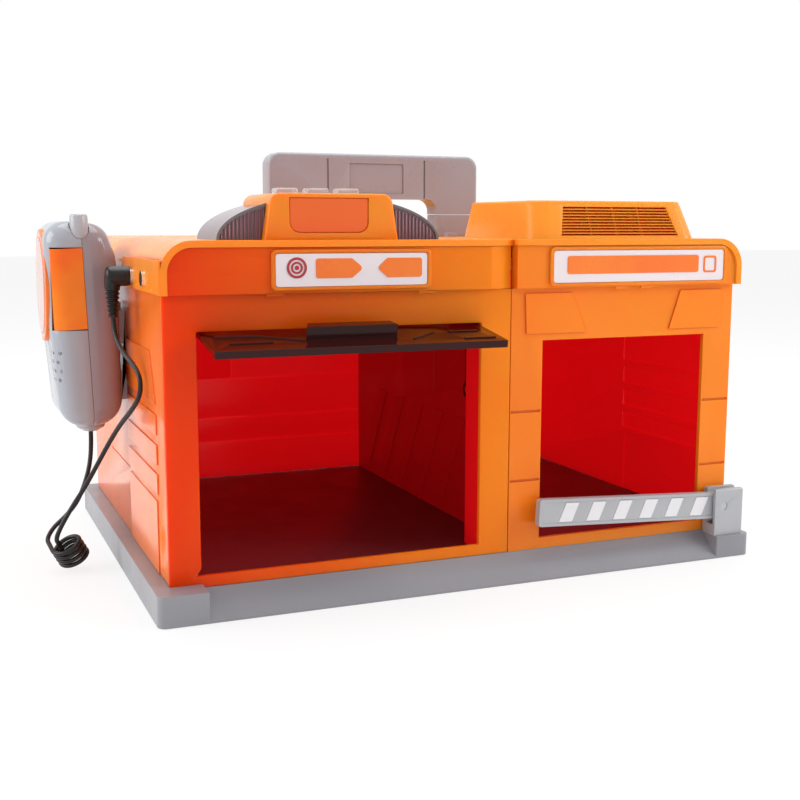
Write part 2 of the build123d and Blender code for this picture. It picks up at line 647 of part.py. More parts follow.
def handset_shell(x0, x1):
    """One half of the handset, hollow inside."""
    shell = (handset_form(0) & block(x0, x1, -40, 40, 60, 190)) - handset_cuts()
    return shell - (handset_form(2.4) & block(x0 - 1, x1 + 1, -40, 40, 78, 162))


def handset_inner():
    """Half nearer the wall, with the hook that hangs in the cradle."""
    shell = handset_shell(SET_PART + 0.1, SET_IN + 1)
    shell += block(SET_IN - 1, HOOK_X1, SET_MID_Y - 6, SET_MID_Y + 14, 131.2, 134.0)
    shell += block(HOOK_X0, HOOK_X1, SET_MID_Y - 6, SET_MID_Y + 14, 119.0, 132.0)
    return shell


def handset_outer():
    """Outer half with the microphone slots below the badge."""
    shell = handset_shell(SET_OUT - 1, SET_PART - 0.1)
    for z in (99.5, 103.5, 107.5, 111.5):
        shell -= block(-195.0, -180.0, SET_MID_Y - 9, SET_MID_Y + 9, z - 0.6, z + 0.6)
    return shell


def talk_outline(grow):
    """Outline of the press-to-talk bar in the front view."""
    return [(-171.0 + grow, 116.0 - grow), (-171.0 + grow, 159.0 + grow), (-183.2 - grow, 155.0 + grow),
            (-182.2 - grow, 118.0 - grow)]


def talk_bar():
    """Press-to-talk bar on the near flank, sunk in a pocket of the outer half."""
    return prism_y(talk_outline(0), SET_Y0 - 0.9, SET_Y0 + 0.9)


def handset_badge():
    """Bare oval plate in a ring on the outer face."""
    place = Plane(origin=(SET_OUT - 0.1, SET_MID_Y, 145.6), x_dir=(0, 1, 0), z_dir=(-1, 0, 0))
    return place * extrude(Ellipse(14.0, 19.0), amount=0.9)


def antenna_stub():
    """Short stub aerial let into the near shoulder."""
    stub = rod((ANTENNA_AT[0], ANTENNA_AT[1], 164.1), (0, 0, 1), 4.35, 13.4)
    return fillet(stub.edges().filter_by(GeomType.CIRCLE), 1.2)


def cord_gland():
    """Tapered rubber gland under the handset."""
    gland = rod((-166.3, SET_MID_Y, 70.2), (0, 0, 1), 5.0, 5.0)
    cone = Pos(-166.3, SET_MID_Y, 70.3) * Cone(2.6, 4.6, 1.8, align=(Align.CENTER, Align.CENTER, Align.MAX))
    return gland + cone


def cradle():
    """Wall bracket that the handset's hook drops into."""
    y0, y1 = SET_MID_Y - 9.3, SET_MID_Y + 19.7
    bracket = block(-HALF_W - 0.8, -HALF_W, y0, y1, 85.0, 130.0)
    upper = block(-152.0, -HALF_W, y0, y1, 113.5, 130.0)
    upper -= block(HOOK_X0 - 0.4, HOOK_X1 + 0.4, SET_MID_Y - 7.0, SET_MID_Y + 15.0, 117.0, 131.0)
    lower = block(-152.0, -HALF_W, y0, y1, 85.0, 99.5)
    return bracket + upper + lower


# ---------------------------------------------------------------- jacks, plug and cord
RELIEF_X = -159.5


def jack_sockets():
    """Two metal sockets in the roof's side."""
    rings = []
    for y in (-74.5, PLUG_Y):
        ring = rod((-151.5, y, JACK_Z), (1, 0, 0), 3.5, 5.0)
        ring -= rod((-152.5, y, JACK_Z), (1, 0, 0), 1.9, 5.5)
        rings.append(ring)
    return Compound(children=rings)


def plug_body():
    """Angled plug in the rear socket."""
    body = rod((-151.6, PLUG_Y, JACK_Z), (-1, 0, 0), 4.65, 11.0)
    body = fillet(body.edges().sort_by(Axis.X)[0], 2.0)
    body += rod((-151.7, PLUG_Y, JACK_Z), (1, 0, 0), 1.75, 4.0)
    body += rod((RELIEF_X, PLUG_Y, JACK_Z), (0, 0, -1), 3.7, 5.2)
    return body


def strain_relief():
    """Tapered boot under the plug, grooved six times."""
    top, foot = 143.4, 129.4
    edge = [(0, top), (3.5, top)]
    steps = 6
    for i in range(steps):
        z = top - 1.2 - i * (top - foot - 2.0) / steps
        r = 3.5 - i * 0.2
        edge += [(r, z), (r - 0.7, z - 0.5), (r - 0.7, z - 1.0), (r - 0.15, z - 1.5)]
    edge += [(2.2, foot), (0, foot)]
    face = make_face(Polyline(*[(RELIEF_X + r, PLUG_Y, z) for r, z in edge], close=True))
    return revolve(face, Axis((RELIEF_X, PLUG_Y, 0), (0, 0, 1)))


COIL_AXIS = Vector(-0.457, -0.264, 0.851).normalized()
COIL_FOOT = Vector(-177.6, -13.2, 4.95)
COIL = Plane(origin=COIL_FOOT, x_dir=Vector(0.851, 0, 0.457), z_dir=COIL_AXIS)


def coil_point(angle, radius, height):
    """A point of the coil, from its angle about the tilted axis."""
    a = math.radians(angle)
    return COIL.from_local_coords((radius * math.cos(a), radius * math.sin(a), height))


def coil_heading(angle, outward, along, up):
    """A direction at the coil, from its parts outward, round and up the axis."""
    a = math.radians(angle)
    x = outward * math.cos(a) - along * math.sin(a)
    y = outward * math.sin(a) + along * math.cos(a)
    return (COIL.from_local_coords((x, y, up)) - COIL.origin).normalized()


def coil_stations():
    """Points and headings: down the helix from its top, then up its bore to the plug's stretch."""
    stations = []
    fall = -COIL_PITCH / (2 * math.pi * COIL_R)
    quarters = 4 * COIL_TURNS - 1
    for q in range(quarters + 1):
        angle = 180 + 90 * q
        height = COIL_PITCH * (COIL_TURNS - q / 4)
        stations.append((coil_point(angle, COIL_R, height), coil_heading(angle, 0, 1, fall)))
    stations.append((coil_point(150, 5.0, 0.6), coil_heading(150, -0.45, 0.9, 0.12)))
    stations.append((coil_point(205, 3.4, 3.4), coil_heading(205, 0.0, 0.3, 1.0)))
    stations.append((coil_point(186, 3.2, 8.0), coil_heading(186, 0.0, -0.15, 1.0)))
    stations.append((coil_point(180, 2.6, 12.6), Vector(-0.16, -0.10, 0.98).normalized()))
    return stations


COIL_STATIONS = coil_stations()
COIL_TOP = COIL_STATIONS[0][0] - COIL_STATIONS[0][1] * CORD_D
COIL_TOP_WAY = COIL_STATIONS[0][1]
COIL_BORE = COIL_STATIONS[-1][0] + COIL_STATIONS[-1][1] * CORD_D
COIL_BORE_WAY = COIL_STATIONS[-1][1]

# Control points of the two free stretches of cord, from the plug and from the handset.
CORD_PLUG = ((-159.5, -44.5, 129.4), (-159.5, -44.5, 122.5), (-157.9, -52.8, 114.5),
             (-153.6, -63.2, 108.2), (-152.2, -70.3, 103.0), (-152.6, -70.8, 95.4), (-154.9, -63.0, 88.0),
             (-158.4, -50.0, 79.5),
             (-162.0, -39.5, 70.0), (-167.0, -29.5, 57.0), (-172.8, -21.5, 43.5), (-180.0, -17.0, 31.5),
             tuple(COIL_BORE + COIL_BORE_WAY * 9.0), tuple(COIL_BORE))
CORD_SET = ((-166.3, -1.5, 68.5), (-166.3, -1.5, 61.5), (-167.8, -4.6, 51.5), (-171.0, -6.0, 41.5),
            (-175.0, -5.4, 32.5), (-180.6, -3.8, 25.5), (-187.0, -2.6, 19.8),
            tuple(COIL_TOP - COIL_TOP_WAY * 9.5), tuple(COIL_TOP))


def biarc(start, end):
    """Two tangent arcs between two stations."""
    (p0, t0), (p1, t1) = start, end
    v = p1 - p0
    t = t0 + t1
    bend = 2 * (1 - t0.dot(t1))
    if bend < 1e-6:
        reach = v.dot(v) / (4 * v.dot(t1))
    else:
        reach = (math.sqrt(v.dot(t) ** 2 + bend * v.dot(v)) - v.dot(t)) / bend
    middle = (p0 + p1 + (t0 - t1) * reach) * 0.5
    ahead = (p1 - t1 * reach - p0 - t0 * reach).normalized()
    return [TangentArc(p0, middle, tangent=t0), TangentArc(middle, p1, tangent=ahead)]


def least_self_gap(path, diameter):
    """Clear space between stretches of one tube that are over three diameters apart along it."""
    count = int(path.length / 0.5)
    points = [path @ (i / count) for i in range(count + 1)]
    skip = int(3 * diameter / 0.5)
    near = min((points[i] - points[j]).length for i in range(count + 1) for j in range(i + skip, count + 1))
    return near - diameter


def swept(path, diameter):
    """A round tube along a path."""
    section = Plane(origin=path @ 0, z_dir=path % 0) * Circle(diameter / 2)
    return sweep(section, path=path)


def cord_coil():
    """The slack of the cord: four leaning turns whose inner end rises through the bore."""
    edges = [Line(COIL_TOP, COIL_STATIONS[0][0])]
    for start, end in zip(COIL_STATIONS, COIL_STATIONS[1:]):
        edges += biarc(start, end)
    edges.append(Line(COIL_STATIONS[-1][0], COIL_BORE))
    path = Wire(edges)
    print("cord_coil length", round(path.length, 1), "least gap", round(least_self_gap(path, CORD_D), 2))
    return swept(path, CORD_D)


def corner_radii(points):
    """The widest arc that each corner's shorter run allows."""
    radii = []
    for before, here, after in zip(points, points[1:], points[2:]):
        a = Vector(*here) - Vector(*before)
        b = Vector(*after) - Vector(*here)
        half_turn = math.radians(a.get_angle(b)) / 2
        radii.append(0.45 * min(a.length, b.length) / math.tan(half_turn))
    return radii


def cord_tube(name, points):
    """A free stretch of cord: straight runs joined by tangent arcs."""
    radii = corner_radii(points)
    path = FilletPolyline(*points, radius=radii)
    tube = swept(path, CORD_D)
    want = math.pi * CORD_D ** 2 / 4 * path.length
    print(name, "length", round(path.length, 1), "radii", [round(r, 1) for r in radii],
          "volume ratio", round(tube.volume / want, 4))
    return tube


# ---------------------------------------------------------------- the whole toy
def main():
    """Build every sub-part and write it."""
    os.makedirs("parts", exist_ok=True)
    keep("base_tray", base_tray())
    keep("base_screws", base_screws())
    keep("facade_left", facade_left())
    keep("facade_right", facade_right())
    keep("left_wall", left_wall())
    keep("right_wall", right_wall())
    keep("rear_wall", rear_wall())
    keep("partition", partition())
    keep("lift_door", lift_door())
    keep("door_pins", door_pins())
    keep("roof_cover", roof_cover())
    keep("battery_door", battery_door())
    keep("fascia_left", fascia_left())
    keep("fascia_right", fascia_right())
    keep("sign_left_frame", sign_frame(SIGN_LEFT))
    keep("sign_right_frame", sign_frame(SIGN_RIGHT))
    keep("sign_left_plate", sign_plate(SIGN_LEFT))
    keep("sign_right_plate", sign_plate(SIGN_RIGHT))
    keep("console_housing", console_housing())
    keep("console_front", console_front())
    for side, x in zip(("left", "middle", "right"), BUTTON_X):
        keep("console_button_" + side, console_button(x))
    keep("switch_board", switch_board())
    keep("lamp_lens", lamp_lens())
    keep("lamp_rim", lamp_rim())
    keep("vent_housing", vent_housing())
    keep("vent_louvres", vent_louvres())
    keep("speaker", speaker())
    keep("handle_feet", handle_feet())
    keep("carry_handle", carry_handle())
    keep("power_switch", power_switch())
    keep("barrier_post", barrier_post())
    keep("barrier_arm", barrier_arm())
    keep("barrier_stripes", barrier_stripes())
    keep("barrier_pin", barrier_pin())
    keep("handset_inner", handset_inner())
    keep("handset_outer", handset_outer())
    keep("talk_bar", talk_bar())
    keep("handset_badge", handset_badge())
    keep("antenna_stub", antenna_stub())
    keep("cord_gland", cord_gland())
    keep("cradle", cradle())
    keep("jack_sockets", jack_sockets())
    keep("plug_body", plug_body())
    keep("strain_relief", strain_relief())
    keep("cord_from_plug", cord_tube("cord_from_plug", CORD_PLUG))
    keep("cord_from_handset", cord_tube("cord_from_handset", CORD_SET))
    keep("cord_coil", cord_coil())


main()
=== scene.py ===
"""Looks of the toy parking garage: orange shell, grey base and handset, smoky door and lamp."""
import math

import bpy
from mathutils import Matrix, Vector


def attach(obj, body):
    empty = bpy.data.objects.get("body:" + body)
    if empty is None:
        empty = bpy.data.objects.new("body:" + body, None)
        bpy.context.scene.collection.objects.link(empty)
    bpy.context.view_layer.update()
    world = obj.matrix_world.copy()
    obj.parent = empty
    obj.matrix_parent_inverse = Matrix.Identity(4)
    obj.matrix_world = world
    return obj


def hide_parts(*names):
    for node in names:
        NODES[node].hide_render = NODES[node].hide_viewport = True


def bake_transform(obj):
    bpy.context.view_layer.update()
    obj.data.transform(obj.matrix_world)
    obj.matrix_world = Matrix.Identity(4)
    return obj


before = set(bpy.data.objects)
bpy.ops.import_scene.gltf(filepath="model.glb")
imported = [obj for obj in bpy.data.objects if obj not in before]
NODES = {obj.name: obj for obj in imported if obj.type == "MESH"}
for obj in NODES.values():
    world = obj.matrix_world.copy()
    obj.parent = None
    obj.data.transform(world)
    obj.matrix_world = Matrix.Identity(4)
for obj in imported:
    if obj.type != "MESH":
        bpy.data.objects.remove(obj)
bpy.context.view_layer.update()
MM = 0.001


def linked(name, data):
    """A new object in the scene that holds a mesh, curve, lamp or camera."""
    piece = bpy.data.objects.new(name, data)
    bpy.context.scene.collection.objects.link(piece)
    return piece


# ------------------------------------------------------------ camera
CAMERA_AT = Vector((-0.2440, -0.6037, 0.1728))
CAMERA_YAW, CAMERA_PITCH, CAMERA_ROLL = -22.427, 81.437, 0.098
CAMERA_LENS, CAMERA_SENSOR = 52.44, 36.0

camera_data = bpy.data.cameras.new("camera")
camera_data.lens = CAMERA_LENS
camera_data.sensor_width = CAMERA_SENSOR
camera = linked("camera", camera_data)
camera.matrix_world = (Matrix.Translation(CAMERA_AT)
                       @ Matrix.Rotation(math.radians(CAMERA_YAW), 4, "Z")
                       @ Matrix.Rotation(math.radians(CAMERA_PITCH), 4, "X")
                       @ Matrix.Rotation(math.radians(CAMERA_ROLL), 4, "Z"))
bpy.context.scene.camera = camera
bpy.context.scene.view_settings.view_transform = "Standard"

# ------------------------------------------------------------ shader groups
# Scales of the noise fields, and the part of each field's range that is spread over 0 to 1.
HAIR_SCALE, PATCH_SCALE, HAZE_SCALE, SPECK_SCALE = 120.0, 31.0, 46.0, 700.0
DRIFT_BAND, HAIR_BAND, PATCH_BAND = (0.32, 0.68), (0.62, 0.7), (0.5, 0.72)
HAZE_BAND, SPECK_BAND, FACING_UP = (0.3, 0.7), (0.45, 0.75), (0.4, 1.0)
HAIR_STRETCH, HAIR_TURN = (1.0, 1.0, 14.0), (0.5, 0.7, 0.2)
SCUFF_DEPTH, LEAST_SPECK = 0.6, 0.15

# The box, in metres, that holds the bays: inside it the colour is painted light and a painted glow.
BAY_HALF_WIDTH, BAY_FRONT, BAY_BACK, BAY_TOP = 0.14725, -0.10425, 0.1105, 0.1427

# How far off, in metres, the walls of a channel still throw painted shade in it, and how open a shut and an
# open spot are.
GROOVE_REACH, GROOVE_SAMPLES = 0.0035, 4
GROOVE_SHUT, GROOVE_OPEN = 0.35, 0.97


def new_group(name, inputs, outputs):
    """An empty shader group with named sockets and its two end nodes."""
    group = bpy.data.node_groups.new(name, "ShaderNodeTree")
    for label, kind, value in inputs:
        socket = group.interface.new_socket(label, in_out="INPUT", socket_type="NodeSocket" + kind)
        socket.default_value = value
    for label, kind in outputs:
        group.interface.new_socket(label, in_out="OUTPUT", socket_type="NodeSocket" + kind)
    return group, group.nodes.new("NodeGroupInput"), group.nodes.new("NodeGroupOutput")


def feed(tree, socket, value):
    """Link a socket to another one, or set it to a constant."""
    if isinstance(value, bpy.types.NodeSocket):
        tree.links.new(value, socket)
    else:
        socket.default_value = value


def noise(tree, vector, scale, detail, roughness=0.5):
    """A noise field over the given coordinates."""
    node = tree.nodes.new("ShaderNodeTexNoise")
    node.inputs["Detail"].default_value = detail
    node.inputs["Roughness"].default_value = roughness
    feed(tree, node.inputs["Scale"], scale)
    tree.links.new(vector, node.inputs["Vector"])
    return node.outputs["Fac"]


def reckon(tree, operation, first, second=0.0):
    """One arithmetic step on values or sockets."""
    node = tree.nodes.new("ShaderNodeMath")
    node.operation = operation
    for socket, value in zip(node.inputs, (first, second)):
        feed(tree, socket, value)
    return node.outputs[0]


def blend_colour(tree, share, first, second):
    """A mix of two colours."""
    node = tree.nodes.new("ShaderNodeMix")
    node.data_type = "RGBA"
    for socket, value in zip((node.inputs[0], node.inputs[6], node.inputs[7]), (share, first, second)):
        feed(tree, socket, value)
    return node.outputs[2]


def spread(tree, value, low, high, to_low=0.0, to_high=1.0):
    """A clamped change of range."""
    node = tree.nodes.new("ShaderNodeMapRange")
    for label, number in (("From Min", low), ("From Max", high), ("To Min", to_low), ("To Max", to_high)):
        node.inputs[label].default_value = number
    tree.links.new(value, node.inputs["Value"])
    return node.outputs[0]


def moulded_plastic_group():
    """Tone drift, flow haze, satin grain and hairline scuffs of injection-moulded plastic, and a painted side
    shade that deepens the colour towards -X.
    """
    group, ins, outs = new_group(
        "moulded_plastic",
        [("Colour", "Color", (0.8, 0.8, 0.8, 1)), ("Deep and Shade Colour", "Color", (0.6, 0.6, 0.6, 1)),
         ("Tone Scale", "Float", 9.0), ("Tone Share", "Float", 0.5), ("Painted Side Shade", "Float", 0.0),
         ("Roughness", "Float", 0.3), ("Haze", "Float", 0.1),
         ("Grain Scale", "Float", 1800.0), ("Grain Height", "Float", 0.2), ("Scuffs", "Float", 0.2)],
        [("Colour", "Color"), ("Roughness", "Float"), ("Height", "Float")])
    place = group.nodes.new("ShaderNodeTexCoord").outputs["Object"]

    drift = spread(group, noise(group, place, ins.outputs["Tone Scale"], 3.0), *DRIFT_BAND)
    across = group.nodes.new("ShaderNodeSeparateXYZ")
    group.links.new(place, across.inputs[0])
    # Painted side shade: the share of the darker colour grows towards -X and shrinks towards +X, standing in
    # for light that falls unevenly across the toy.
    side_shade = reckon(group, "MULTIPLY", across.outputs["X"], ins.outputs["Painted Side Shade"])
    share = reckon(group, "MULTIPLY", drift, ins.outputs["Tone Share"])
    share = spread(group, reckon(group, "SUBTRACT", share, side_shade), 0.0, 1.0)
    tone = blend_colour(group, share, ins.outputs["Colour"], ins.outputs["Deep and Shade Colour"])

    stretch = group.nodes.new("ShaderNodeMapping")
    stretch.inputs["Scale"].default_value = HAIR_STRETCH
    stretch.inputs["Rotation"].default_value = HAIR_TURN
    group.links.new(place, stretch.inputs["Vector"])
    hair = spread(group, noise(group, stretch.outputs[0], HAIR_SCALE, 5.0, 0.65), *HAIR_BAND)
    patch = spread(group, noise(group, place, PATCH_SCALE, 2.0), *PATCH_BAND)
    scuff = reckon(group, "MULTIPLY", reckon(group, "MULTIPLY", hair, patch), ins.outputs["Scuffs"])

    haze = spread(group, noise(group, place, HAZE_SCALE, 4.0), *HAZE_BAND)
    haze = reckon(group, "MULTIPLY", haze, ins.outputs["Haze"])
    rough = reckon(group, "ADD", reckon(group, "ADD", ins.outputs["Roughness"], haze), scuff)

    grain = noise(group, place, ins.outputs["Grain Scale"], 2.0)
    grain = reckon(group, "MULTIPLY", grain, ins.outputs["Grain Height"])
    height = reckon(group, "SUBTRACT", grain, reckon(group, "MULTIPLY", scuff, SCUFF_DEPTH))

    group.links.new(tone, outs.inputs["Colour"])
    group.links.new(rough, outs.inputs["Roughness"])
    group.links.new(height, outs.inputs["Height"])
    return group


def fine_dust_group():
    """A thin film of dust that gathers on what faces up."""
    group, ins, outs = new_group(
        "fine_dust",
        [("Colour", "Color", (0.5, 0.5, 0.5, 1)), ("Dust Colour", "Color", (0.75, 0.73, 0.7, 1)),
         ("Dust", "Float", 0.1)],
        [("Colour", "Color"), ("Mask", "Float")])
    place = group.nodes.new("ShaderNodeTexCoord").outputs["Object"]
    facing = group.nodes.new("ShaderNodeSeparateXYZ")
    group.links.new(group.nodes.new("ShaderNodeNewGeometry").outputs["Normal"], facing.inputs[0])
    upward = spread(group, facing.outputs["Z"], *FACING_UP)
    speck = spread(group, noise(group, place, SPECK_SCALE, 6.0, 0.7), *SPECK_BAND, LEAST_SPECK, 1.0)
    mask = reckon(group, "MULTIPLY", reckon(group, "MULTIPLY", upward, speck), ins.outputs["Dust"])
    dusty = blend_colour(group, mask, ins.outputs["Colour"], ins.outputs["Dust Colour"])
    group.links.new(dusty, outs.inputs["Colour"])
    group.links.new(mask, outs.inputs["Mask"])
    return group


def bay_painted_light_group():
    """Tells what lies inside the bays from the toy's outside, and paints light there.

    The bays are lit through the plastic: their walls get a painted dark red for that light and its shade, and
    a painted glow."""
    group, ins, outs = new_group(
        "bay_painted_light",
        [("Colour", "Color", (0.5, 0.5, 0.5, 1)), ("Painted Bay Colour", "Color", (0.7, 0.01, 0.01, 1)),
         ("Painted Glow Colour", "Color", (0.8, 0.01, 0.01, 1))],
        [("Colour", "Color"), ("Glow", "Color"), ("Mask", "Float")])
    place = group.nodes.new("ShaderNodeSeparateXYZ")
    group.links.new(group.nodes.new("ShaderNodeTexCoord").outputs["Object"], place.inputs[0])
    aside = reckon(group, "LESS_THAN", reckon(group, "ABSOLUTE", place.outputs["X"]), BAY_HALF_WIDTH)
    behind = reckon(group, "GREATER_THAN", place.outputs["Y"], BAY_FRONT)
    before = reckon(group, "LESS_THAN", place.outputs["Y"], BAY_BACK)
    below = reckon(group, "LESS_THAN", place.outputs["Z"], BAY_TOP)
    mask = reckon(group, "MULTIPLY", reckon(group, "MULTIPLY", aside, behind),
                  reckon(group, "MULTIPLY", before, below))
    painted_bay_tint = blend_colour(group, mask, ins.outputs["Colour"], ins.outputs["Painted Bay Colour"])
    painted_glowing = blend_colour(group, mask, (0, 0, 0, 1), ins.outputs["Painted Glow Colour"])
    group.links.new(painted_bay_tint, outs.inputs["Colour"])
    group.links.new(painted_glowing, outs.inputs["Glow"])
    group.links.new(mask, outs.inputs["Mask"])
    return group


def groove_shade_group():
    """Paints shade into seams, grooves and inner corners: the colour deepens where less light reaches."""
    group, ins, outs = new_group(
        "groove_shade",
        [("Colour", "Color", (0.5, 0.5, 0.5, 1)), ("Painted Groove Shade Colour", "Color", (0.4, 0.02, 0.005, 1)),
         ("Share", "Float", 0.8)],
        [("Colour", "Color"), ("Mask", "Float")])
    nook = group.nodes.new("ShaderNodeAmbientOcclusion")
    nook.samples = GROOVE_SAMPLES
    nook.only_local = True
    nook.inputs["Distance"].default_value = GROOVE_REACH
    shade = spread(group, nook.outputs["AO"], GROOVE_SHUT, GROOVE_OPEN, 1.0, 0.0)
    mask = reckon(group, "MULTIPLY", shade, ins.outputs["Share"])
    shaded = blend_colour(group, mask, ins.outputs["Colour"], ins.outputs["Painted Groove Shade Colour"])
    group.links.new(shaded, outs.inputs["Colour"])
    group.links.new(mask, outs.inputs["Mask"])
    return group


MOULDED = moulded_plastic_group()
PAINTED_GROOVE_SHADE = groove_shade_group()
DUST = fine_dust_group()
BAY_PAINTED_LIGHT = bay_painted_light_group()

# ------------------------------------------------------------ finishes
# Strength of the painted glow inside the bays, which stands in for light coming through the plastic.
PAINTED_GLOW_STRENGTH = 0.3


def placed(tree, group, values):
    """A group in a material with its own values."""
    node = tree.nodes.new("ShaderNodeGroup")
    node.node_tree = group
    for label, value in values.items():
        node.inputs[label].default_value = value
    return node


def plastic(name, colour, deep_and_shade, roughness, haze=0.1, grain=1800.0, height=0.2, scuffs=0.2, tone=0.5,
            tone_scale=9.0, painted_side_shade=0.0, dust=0.0, painted_groove_shade=None, painted_bay_colour=None, glow=None, bump=0.00006,
            shader_values=None):
    """A moulded plastic finish with its own tone, haze, grain and scuffs, and optional dust, painted side
    shade, painted shade in seams, and painted light with a painted glow inside the bays.
    """
    material = bpy.data.materials.new(name)
    material.use_nodes = True
    tree = material.node_tree
    shader = tree.nodes["Principled BSDF"]
    surface = placed(tree, MOULDED, {
        "Colour": (*colour, 1), "Deep and Shade Colour": (*deep_and_shade, 1), "Tone Scale": tone_scale, "Tone Share": tone,
        "Painted Side Shade": painted_side_shade, "Roughness": roughness, "Haze": haze, "Grain Scale": grain,
        "Grain Height": height, "Scuffs": scuffs})
    base = surface.outputs["Colour"]
    if dust:
        film = placed(tree, DUST, {"Dust": dust})
        tree.links.new(base, film.inputs["Colour"])
        base = film.outputs["Colour"]
    # Painted shade: seams and inner corners get a darker colour where less light reaches them.
    if painted_groove_shade:
        seams = placed(tree, PAINTED_GROOVE_SHADE, {"Painted Groove Shade Colour": (*painted_groove_shade, 1)})
        tree.links.new(base, seams.inputs["Colour"])
        base = seams.outputs["Colour"]
    # Inside the bays the colour is painted: a dark red for light through the plastic and its shade, and an
    # optional painted glow.
    if painted_bay_colour:
        sides = placed(tree, BAY_PAINTED_LIGHT, {"Painted Bay Colour": (*painted_bay_colour, 1), "Painted Glow Colour": (*(glow or (0, 0, 0)), 1)})
        tree.links.new(base, sides.inputs["Colour"])
        base = sides.outputs["Colour"]
        if glow:
            tree.links.new(sides.outputs["Glow"], shader.inputs["Emission Color"])
            shader.inputs["Emission Strength"].default_value = PAINTED_GLOW_STRENGTH
    tree.links.new(base, shader.inputs["Base Color"])
    tree.links.new(surface.outputs["Roughness"], shader.inputs["Roughness"])
    relief = tree.nodes.new("ShaderNodeBump")
    relief.inputs["Strength"].default_value = 1.0
    relief.inputs["Distance"].default_value = bump
    tree.links.new(surface.outputs["Height"], relief.inputs["Height"])
    tree.links.new(relief.outputs["Normal"], shader.inputs["Normal"])
    for label, value in (shader_values or {}).items():
        shader.inputs[label].default_value = value
    return material


# Painted light inside the bays: a dark red for light through the orange plastic and its shade, and a painted
# red glow.
BAY_PAINTED_RED, BAY_PAINTED_GLOW = (0.80, 0.008, 0.010), (0.75, 0.004, 0.008)
LIGHT_THROUGH = {"Subsurface Weight": 0.55, "Subsurface Radius": (1.0, 0.10, 0.015),
                 "Subsurface Scale": 0.006, "Specular IOR Level": 0.22}
FRONT_LIGHT = {**LIGHT_THROUGH, "Specular IOR Level": 0.11}
SIDE_LIGHT = {**LIGHT_THROUGH, "Specular IOR Level": 0.4}

# The orange shells below are painted darker towards -X by their side shade value, which stands in for uneven
# light.
ORANGE = plastic("orange_shell_plastic", (0.95, 0.24, 0.014), (0.86, 0.075, 0.003), 0.16, haze=0.07,
                 tone=0.35, painted_side_shade=2.4, painted_groove_shade=(0.50, 0.02, 0.002), painted_bay_colour=BAY_PAINTED_RED, glow=BAY_PAINTED_GLOW,
                 shader_values=LIGHT_THROUGH)
ORANGE_ROOF = plastic("orange_roof_plastic", (0.95, 0.30, 0.022), (0.88, 0.15, 0.008), 0.2, haze=0.07,
                      tone=0.35, painted_side_shade=1.6, dust=0.02, painted_groove_shade=(0.50, 0.03, 0.003), painted_bay_colour=BAY_PAINTED_RED,
                      glow=BAY_PAINTED_GLOW, shader_values=LIGHT_THROUGH)
# The left front's copy of the orange: painted redder and darker, most of all towards -X, as painted shade
# where less light falls.
ORANGE_FRONT_SHADED = plastic("orange_front_shaded_plastic", (0.94, 0.24, 0.012), (0.80, 0.048, 0.003), 0.14, haze=0.05,
                       tone=0.25, painted_side_shade=6.5, painted_groove_shade=(0.45, 0.012, 0.002), painted_bay_colour=(0.72, 0.006, 0.008),
                       glow=(0.55, 0.003, 0.006), shader_values=FRONT_LIGHT)
ORANGE_SIDE = plastic("orange_side_plastic", (0.93, 0.19, 0.012), (0.88, 0.09, 0.006), 0.13, haze=0.06,
                      painted_groove_shade=(0.45, 0.015, 0.002), painted_bay_colour=BAY_PAINTED_RED, glow=BAY_PAINTED_GLOW, shader_values=SIDE_LIGHT)
# The partition stands in shade between the bays: inside them its colour is painted a darker red, with a
# weaker painted glow.
ORANGE_PARTITION_SHADED = plastic("orange_partition_shaded_plastic", (0.92, 0.18, 0.010), (0.86, 0.08, 0.004), 0.15,
                           painted_bay_colour=(0.36, 0.004, 0.006), glow=(0.22, 0.001, 0.002),
                           shader_values=FRONT_LIGHT)
DEEP_ORANGE = plastic("deep_orange_inlay", (0.80, 0.13, 0.006), (0.70, 0.08, 0.004), 0.16)
# Inside the bays the grey deck is painted dark red: painted shade with red light from the walls.
GREY_BASE = plastic("grey_base_plastic", (0.28, 0.28, 0.305), (0.22, 0.22, 0.245), 0.28, haze=0.12,
                    dust=0.03, painted_bay_colour=(0.13, 0.02, 0.025))
GREY_HANDLE = plastic("mauve_grey_handle", (0.34, 0.33, 0.375), (0.28, 0.265, 0.305), 0.24,
                      painted_groove_shade=(0.10, 0.08, 0.09))
GREY_SET = plastic("grey_handset_plastic", (0.37, 0.39, 0.43), (0.31, 0.32, 0.36), 0.13, haze=0.07)
# The handset's inner half: a darker, red-tinted grey that is a painted reflection of the orange walls plus
# painted shade.
GREY_SET_BACK_REFLECTING = plastic("grey_handset_back_reflecting_plastic", (0.30, 0.25, 0.27), (0.26, 0.17, 0.18), 0.13,
                        haze=0.07)
PALE_CRADLE = plastic("pale_cradle_plastic", (0.60, 0.47, 0.48), (0.54, 0.38, 0.39), 0.18, haze=0.08)
GREY_STUB = plastic("pale_grey_aerial", (0.42, 0.42, 0.45), (0.36, 0.36, 0.39), 0.22)
GREY_BOOM = plastic("grey_barrier_plastic", (0.44, 0.45, 0.47), (0.37, 0.38, 0.40), 0.32)
SMOKE = plastic("smoky_door_plastic", (0.030, 0.003, 0.003), (0.018, 0.002, 0.002), 0.07, haze=0.04,
                shader_values={"Specular IOR Level": 0.22})
LENS = plastic("smoky_lens_plastic", (0.30, 0.22, 0.25), (0.2, 0.12, 0.15), 0.12, haze=0.05,
               shader_values={"Transmission Weight": 0.35})
CLEAR = plastic("clear_button_plastic", (0.80, 0.78, 0.79), (0.72, 0.70, 0.72), 0.06, haze=0.04,
                shader_values={"Transmission Weight": 0.6, "IOR": 1.49})
BLACK = plastic("black_plug_plastic", (0.008, 0.007, 0.008), (0.004, 0.004, 0.005), 0.24,
                shader_values={"Specular IOR Level": 0.35})
